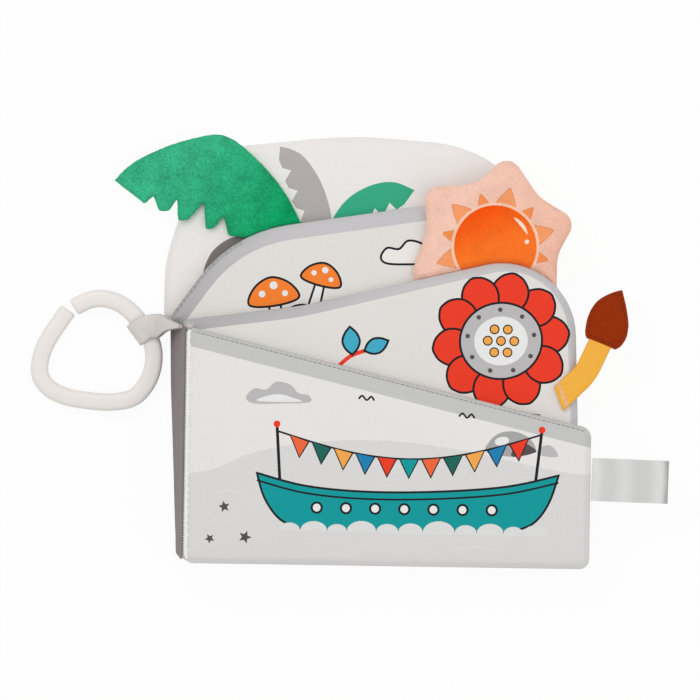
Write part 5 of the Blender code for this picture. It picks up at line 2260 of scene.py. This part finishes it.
@dataclass
class Webbing:
    """The webbing: a ribbon round the ring's bar, whose two ends climb to the spine's head and are
    drawn together there.
    """

    bar: Point = (-22.1, 116.6)
    bar_height: float = 5.0
    out: float = 6.0
    up: float = 4.75
    down: float = 4.2
    width: float = 12.0
    tack: tuple[float, float, float] = (-2.7, 117.6, 27.8)
    heading: float = 36.9
    thickness: float = 0.75
    bow: float = 1.3
    climb: tuple[float, ...] = (0.0, 0.36, 0.64, 1.0)
    widths: tuple[float, ...] = (1.0, 0.98, 0.5, 0.1)
    turns: tuple[float, ...] = (126.9, 97.0, 84.0, 78.0)
    split: int = 1
    outer_rise: tuple[float, ...] = (0.0, 0.12, 0.52, 1.0)
    inner_rise: tuple[float, ...] = (0.0, 0.08, 0.49, 1.0)

    def rows(self, above: float, rises: Sequence[float], off: float) -> list[tuple[Vector, Vector]]:
        """Rows of one end, from the bar up to the tack.

        Args:
            above: Height of the first row above the bar's middle.
            rises: Share of the climb's height at each knot.
            off: Distance of the last row from the spine.

        Returns:
            Middle and half width of each row.
        """
        first = Vector((*self.bar, self.bar_height + above))
        last = Vector(self.tack) - Vector((off, 0.0, 0.0))
        knots = []
        for share, wide, turn, height in zip(self.climb, self.widths, self.turns, rises):
            spot = first.lerp(last, share)
            spot.y += self.bow * math.sin(math.pi * share)
            spot.z = first.z + (last.z - first.z) * height
            knots.append((*spot, wide, turn))
        made = []
        for x, y, z, wide, turn in smooth_line(knots):
            made.append((Vector((x, y, z)), direction(turn).to_3d() * self.width * wide / 2))
        return made

    def loft(self, name: str, rows: Sequence[tuple[Vector, Vector]], first: int, last: int) -> Object:
        """A ribbon through rows that each give a middle and half of the width.

        Args:
            name: The object's name.
            rows: Middle and half width of each row.
            first: The row where this piece starts.
            last: The row where it ends.

        Returns:
            This piece of the ribbon, shaded as the whole, with its length along the map's X.
        """
        mesh = bmesh.new()
        bmesh.ops.create_grid(mesh, x_segments=len(rows) - 1, y_segments=8, size=0.5)
        runs = [0.0]
        for (a, _), (b, _) in zip(rows, rows[1:]):
            runs.append(runs[-1] + (b - a).length)
        layer = mesh.loops.layers.uv.new("ribbon")
        order, side = mesh.verts.layers.int.new("row"), mesh.verts.layers.float.new("side")
        index = {vert: round((vert.co.x + 0.5) * (len(rows) - 1)) for vert in mesh.verts}
        across = {vert: 2 * vert.co.y for vert in mesh.verts}
        for face in mesh.faces:
            for loop in face.loops:
                loop[layer].uv = (runs[index[loop.vert]] * MM, across[loop.vert] * self.width * MM / 2)
        for vert in mesh.verts:
            middle, half = rows[index[vert]]
            vert.co = middle + half * across[vert]
            vert[order], vert[side] = index[vert], abs(across[vert])
        bmesh.ops.recalc_face_normals(mesh, faces=mesh.faces)
        bmesh.ops.solidify(mesh, geom=mesh.faces[:], thickness=self.thickness)
        bmesh.ops.recalc_face_normals(mesh, faces=mesh.faces)
        mesh.normal_update()
        spare = [face for face in mesh.faces if not all(first <= vert[order] <= last for vert in face.verts)]
        bmesh.ops.delete(mesh, geom=spare, context="FACES")
        seams = {first, last} - {0, len(rows) - 1}
        normals = [
            vert.normal.copy() if vert[order] in seams and vert[side] < 0.99 else Vector()
            for vert in mesh.verts
        ]
        obj = finished(mesh, name, sharp=50.0)
        obj.data.normals_split_custom_set_from_vertices(normals)
        return obj

    def build(self, finishes: Finishes) -> None:
        """Makes the ribbon from its outer end, round the bar, to its inner end.

        Args:
            finishes: The book's materials.
        """
        outer = self.rows(self.up, self.outer_rise, 1.2)
        rows = outer[::-1]
        ahead, half = direction(self.heading).to_3d(), outer[0][1]
        for k in range(1, 16):
            b = math.pi / 2 + math.pi * k / 16
            reach = self.up if k < 8 else self.down
            spot = Vector((*self.bar, self.bar_height + reach * math.sin(b)))
            rows.append((spot + ahead * self.out * math.cos(b), half))
        rows += self.rows(-self.down, self.inner_rise, 0.3)
        end = len(rows) - 1
        low = len(outer) - 1 - self.split
        high = end - low
        wrap = self.loft("webbing_wrap", rows, low, high)
        place(wrap, "webbing", finishes.webbing, "grey_webbing", "webbing_loop")
        for side, first, last, seam in (("outer", 0, low, low), ("inner", high, end, high)):
            piece = self.loft(f"webbing_{side}_end", rows, first, last)
            obj = place(piece, "webbing", finishes.webbing, "grey_webbing")
            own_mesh(obj)


@dataclass
class Studio:
    """Plain pale floor, soft lamps, and the photograph's view from straight above."""

    distance: float = 3.0
    frame_width: float = 0.35
    aim: Point = (-0.0067, 0.0113)
    roll: float = 0.9
    ambient: float = 0.62
    glow: float = 0.93
    floor_gap: float = 0.0004

    def camera(self) -> None:
        """Hangs the camera over the book."""
        data = bpy.data.cameras.new("camera")
        data.sensor_width = 36.0
        data.lens = 36.0 * (self.distance - 0.016) / self.frame_width
        obj = bpy.data.objects.new("camera", data)
        obj.location = (*self.aim, self.distance)
        obj.rotation_euler = (0.0, 0.0, math.radians(self.roll))
        bpy.context.scene.collection.objects.link(obj)
        bpy.context.scene.camera = obj

    def lamp(self, name: str, place_at: tuple[float, float, float], power: float, size: float) -> None:
        """Hangs a soft square lamp that looks at the book.

        Args:
            name: Its name.
            place_at: Its place, in metres.
            power: Its watts.
            size: Its side, in metres.
        """
        data = bpy.data.lights.new(name, "AREA")
        data.energy = power
        data.size = size
        obj = bpy.data.objects.new(name, data)
        obj.location = place_at
        obj.rotation_mode = "QUATERNION"
        obj.rotation_quaternion = (-Vector(place_at)).to_track_quat("-Z", "Y")
        bpy.context.scene.collection.objects.link(obj)

    def world(self) -> None:
        """White to the eye and to transmission rays, softer as light and in reflections."""
        world = bpy.data.worlds.new("studio")
        world.use_nodes = True
        tree = world.node_tree
        tree.nodes.clear()
        seen, light = (tree.nodes.new("ShaderNodeBackground") for _ in range(2))
        for source, strength in ((seen, 1.0), (light, self.ambient)):
            source.inputs["Strength"].default_value = strength
            source.inputs["Color"].default_value = (1.0, 1.0, 1.0, 1.0)
        kinds = ("ShaderNodeLightPath", "ShaderNodeMath", "ShaderNodeMixShader", "ShaderNodeOutputWorld")
        path, most, mix, out = (tree.nodes.new(kind) for kind in kinds)
        most.operation = "MAXIMUM"
        tree.links.new(path.outputs["Is Camera Ray"], most.inputs[0])
        tree.links.new(path.outputs["Is Transmission Ray"], most.inputs[1])
        tree.links.new(most.outputs[0], mix.inputs[0])
        tree.links.new(light.outputs[0], mix.inputs[1])
        tree.links.new(seen.outputs[0], mix.inputs[2])
        tree.links.new(mix.outputs[0], out.inputs["Surface"])
        bpy.context.scene.world = world

    def floor(self) -> None:
        """Lays a pale floor that keeps the book's shadow."""
        mesh = bmesh.new()
        bmesh.ops.create_grid(mesh, x_segments=1, y_segments=1, size=4.0)
        bmesh.ops.translate(mesh, vec=(0.0, 0.0, -self.floor_gap), verts=mesh.verts)
        data = bpy.data.meshes.new("floor")
        mesh.to_mesh(data)
        mesh.free()
        obj = bpy.data.objects.new("floor", data)
        bpy.context.scene.collection.objects.link(obj)
        material = bpy.data.materials.new("floor")
        material.use_nodes = True
        tree = material.node_tree
        shader = tree.nodes["Principled BSDF"]
        shader.inputs["Base Color"].default_value = (0.92, 0.92, 0.92, 1.0)
        shader.inputs["Roughness"].default_value = 0.9
        glow = tree.nodes.new("ShaderNodeEmission")
        glow.inputs["Strength"].default_value = 1.0
        kinds = ("ShaderNodeLightPath", "ShaderNodeMath", "ShaderNodeMixShader")
        path, share, mix = (tree.nodes.new(kind) for kind in kinds)
        share.operation = "MULTIPLY"
        share.inputs[1].default_value = self.glow
        tree.links.new(path.outputs["Is Camera Ray"], share.inputs[0])
        tree.links.new(share.outputs[0], mix.inputs[0])
        tree.links.new(shader.outputs[0], mix.inputs[1])
        tree.links.new(glow.outputs[0], mix.inputs[2])
        tree.links.new(mix.outputs[0], tree.nodes["Material Output"].inputs["Surface"])
        data.materials.append(material)

    def build(self) -> None:
        """Sets up the whole studio."""
        bpy.context.scene.view_settings.view_transform = "Standard"
        self.camera()
        self.lamp("key", (-0.55, 0.75, 1.5), 9.0, 1.1)
        self.lamp("fill", (0.9, -0.3, 1.4), 4.5, 1.4)
        self.world()
        self.floor()


def leaves() -> list[Leaf]:
    """The four leaves, from the back leaf up.

    Returns:
        The leaves.
    """
    # Painted shade: the grey bands of the second and third leaves darken towards the gutter.
    third_painted_shade = Fade(Ink.BAND_PAINTED_SHADE, (50.0, 168.0), (-8.0, 120.0))
    second_painted_shade = Fade(Ink.BAND_PAINTED_SHADE, (110.0, 140.0), (0.0, 120.0))
    return [
        Leaf(Level.BACK, "back_leaf", back_outline(), Ink.BACKDROP, Artwork.back(), Artwork.rear(172.0, 1)),
        Leaf(
            Level.THIRD, "third_leaf", third_outline(), Ink.BAND_LIGHT, Artwork.third(),
            Artwork.rear(178.0, 2), third_painted_shade,
        ),
        Leaf(
            Level.SECOND, "second_leaf", second_outline(), Ink.BAND_LIGHT, Artwork.second(),
            Artwork.rear(186.0, 3), second_painted_shade,
        ),
        Leaf(Level.COVER, "cover", cover_outline(), Ink.BAND, Artwork.cover(), Artwork.rear(192.0, 4)[:12]),
    ]


def sew(third: Leaf, cover: Leaf, finishes: Finishes) -> None:
    """Sews the lines of thread that show at the cover's head and gutter and at the third leaf's head.

    Args:
        third: The third leaf.
        cover: The cover.
        finishes: The book's materials.
    """
    lines = (
        ("edge_beads", 0.6, (200.0, 70.6), (1.0, 117.6), finishes.pale_thread, 1.2, 0.3, 0.36),
        ("top_stitches", 1.9, (200.0, 69.4), (2.0, 116.0), finishes.dark_thread, 2.2, 0.3, 0.19),
        ("gutter_stitches", 0.1, (0.2, 116.0), (0.2, 3.0), finishes.thread, 1.0, 0.3, 0.6),
        ("gutter_overlock", 1.7, (1.7, 115.0), (1.7, 3.0), finishes.thread, 1.3, 0.9, 0.22),
    )
    for name, inset, start, end, thread, length, gap, radius in lines:
        cover.stitch(name, inset, start, end, thread, length=length, gap=gap, radius=radius)
    for index, inset in enumerate((0.6, 1.5)):
        third.stitch(
            f"head_stitches_{index + 1}", inset, (27.0, 160.0), (-8.6, 122.6), finishes.dark_thread,
            length=2.8, gap=0.1, radius=0.15,
        )


def main() -> None:
    """Builds the book on its frame."""
    logging.basicConfig(level=logging.INFO, format="%(name)s: %(message)s")
    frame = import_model()
    Studio().build()
    finishes = Finishes()
    pads = leaves()
    for leaf in pads:
        leaf.build(finishes)
    sew(pads[Level.THIRD.value], pads[Level.COVER.value], finishes)
    knot(finishes)
    for name, node in frame["nodes"].items():
        if name.endswith("_film"):
            node.data.materials.clear()
            node.data.materials.append(finishes.film)
    Spine().build(finishes)
    Sun().build(finishes)
    Frond().build(finishes)
    Tail().build(finishes)
    Label().build(finishes)
    Link().build(finishes)
    Webbing().build(finishes)


if __name__ == "__main__":
    main()
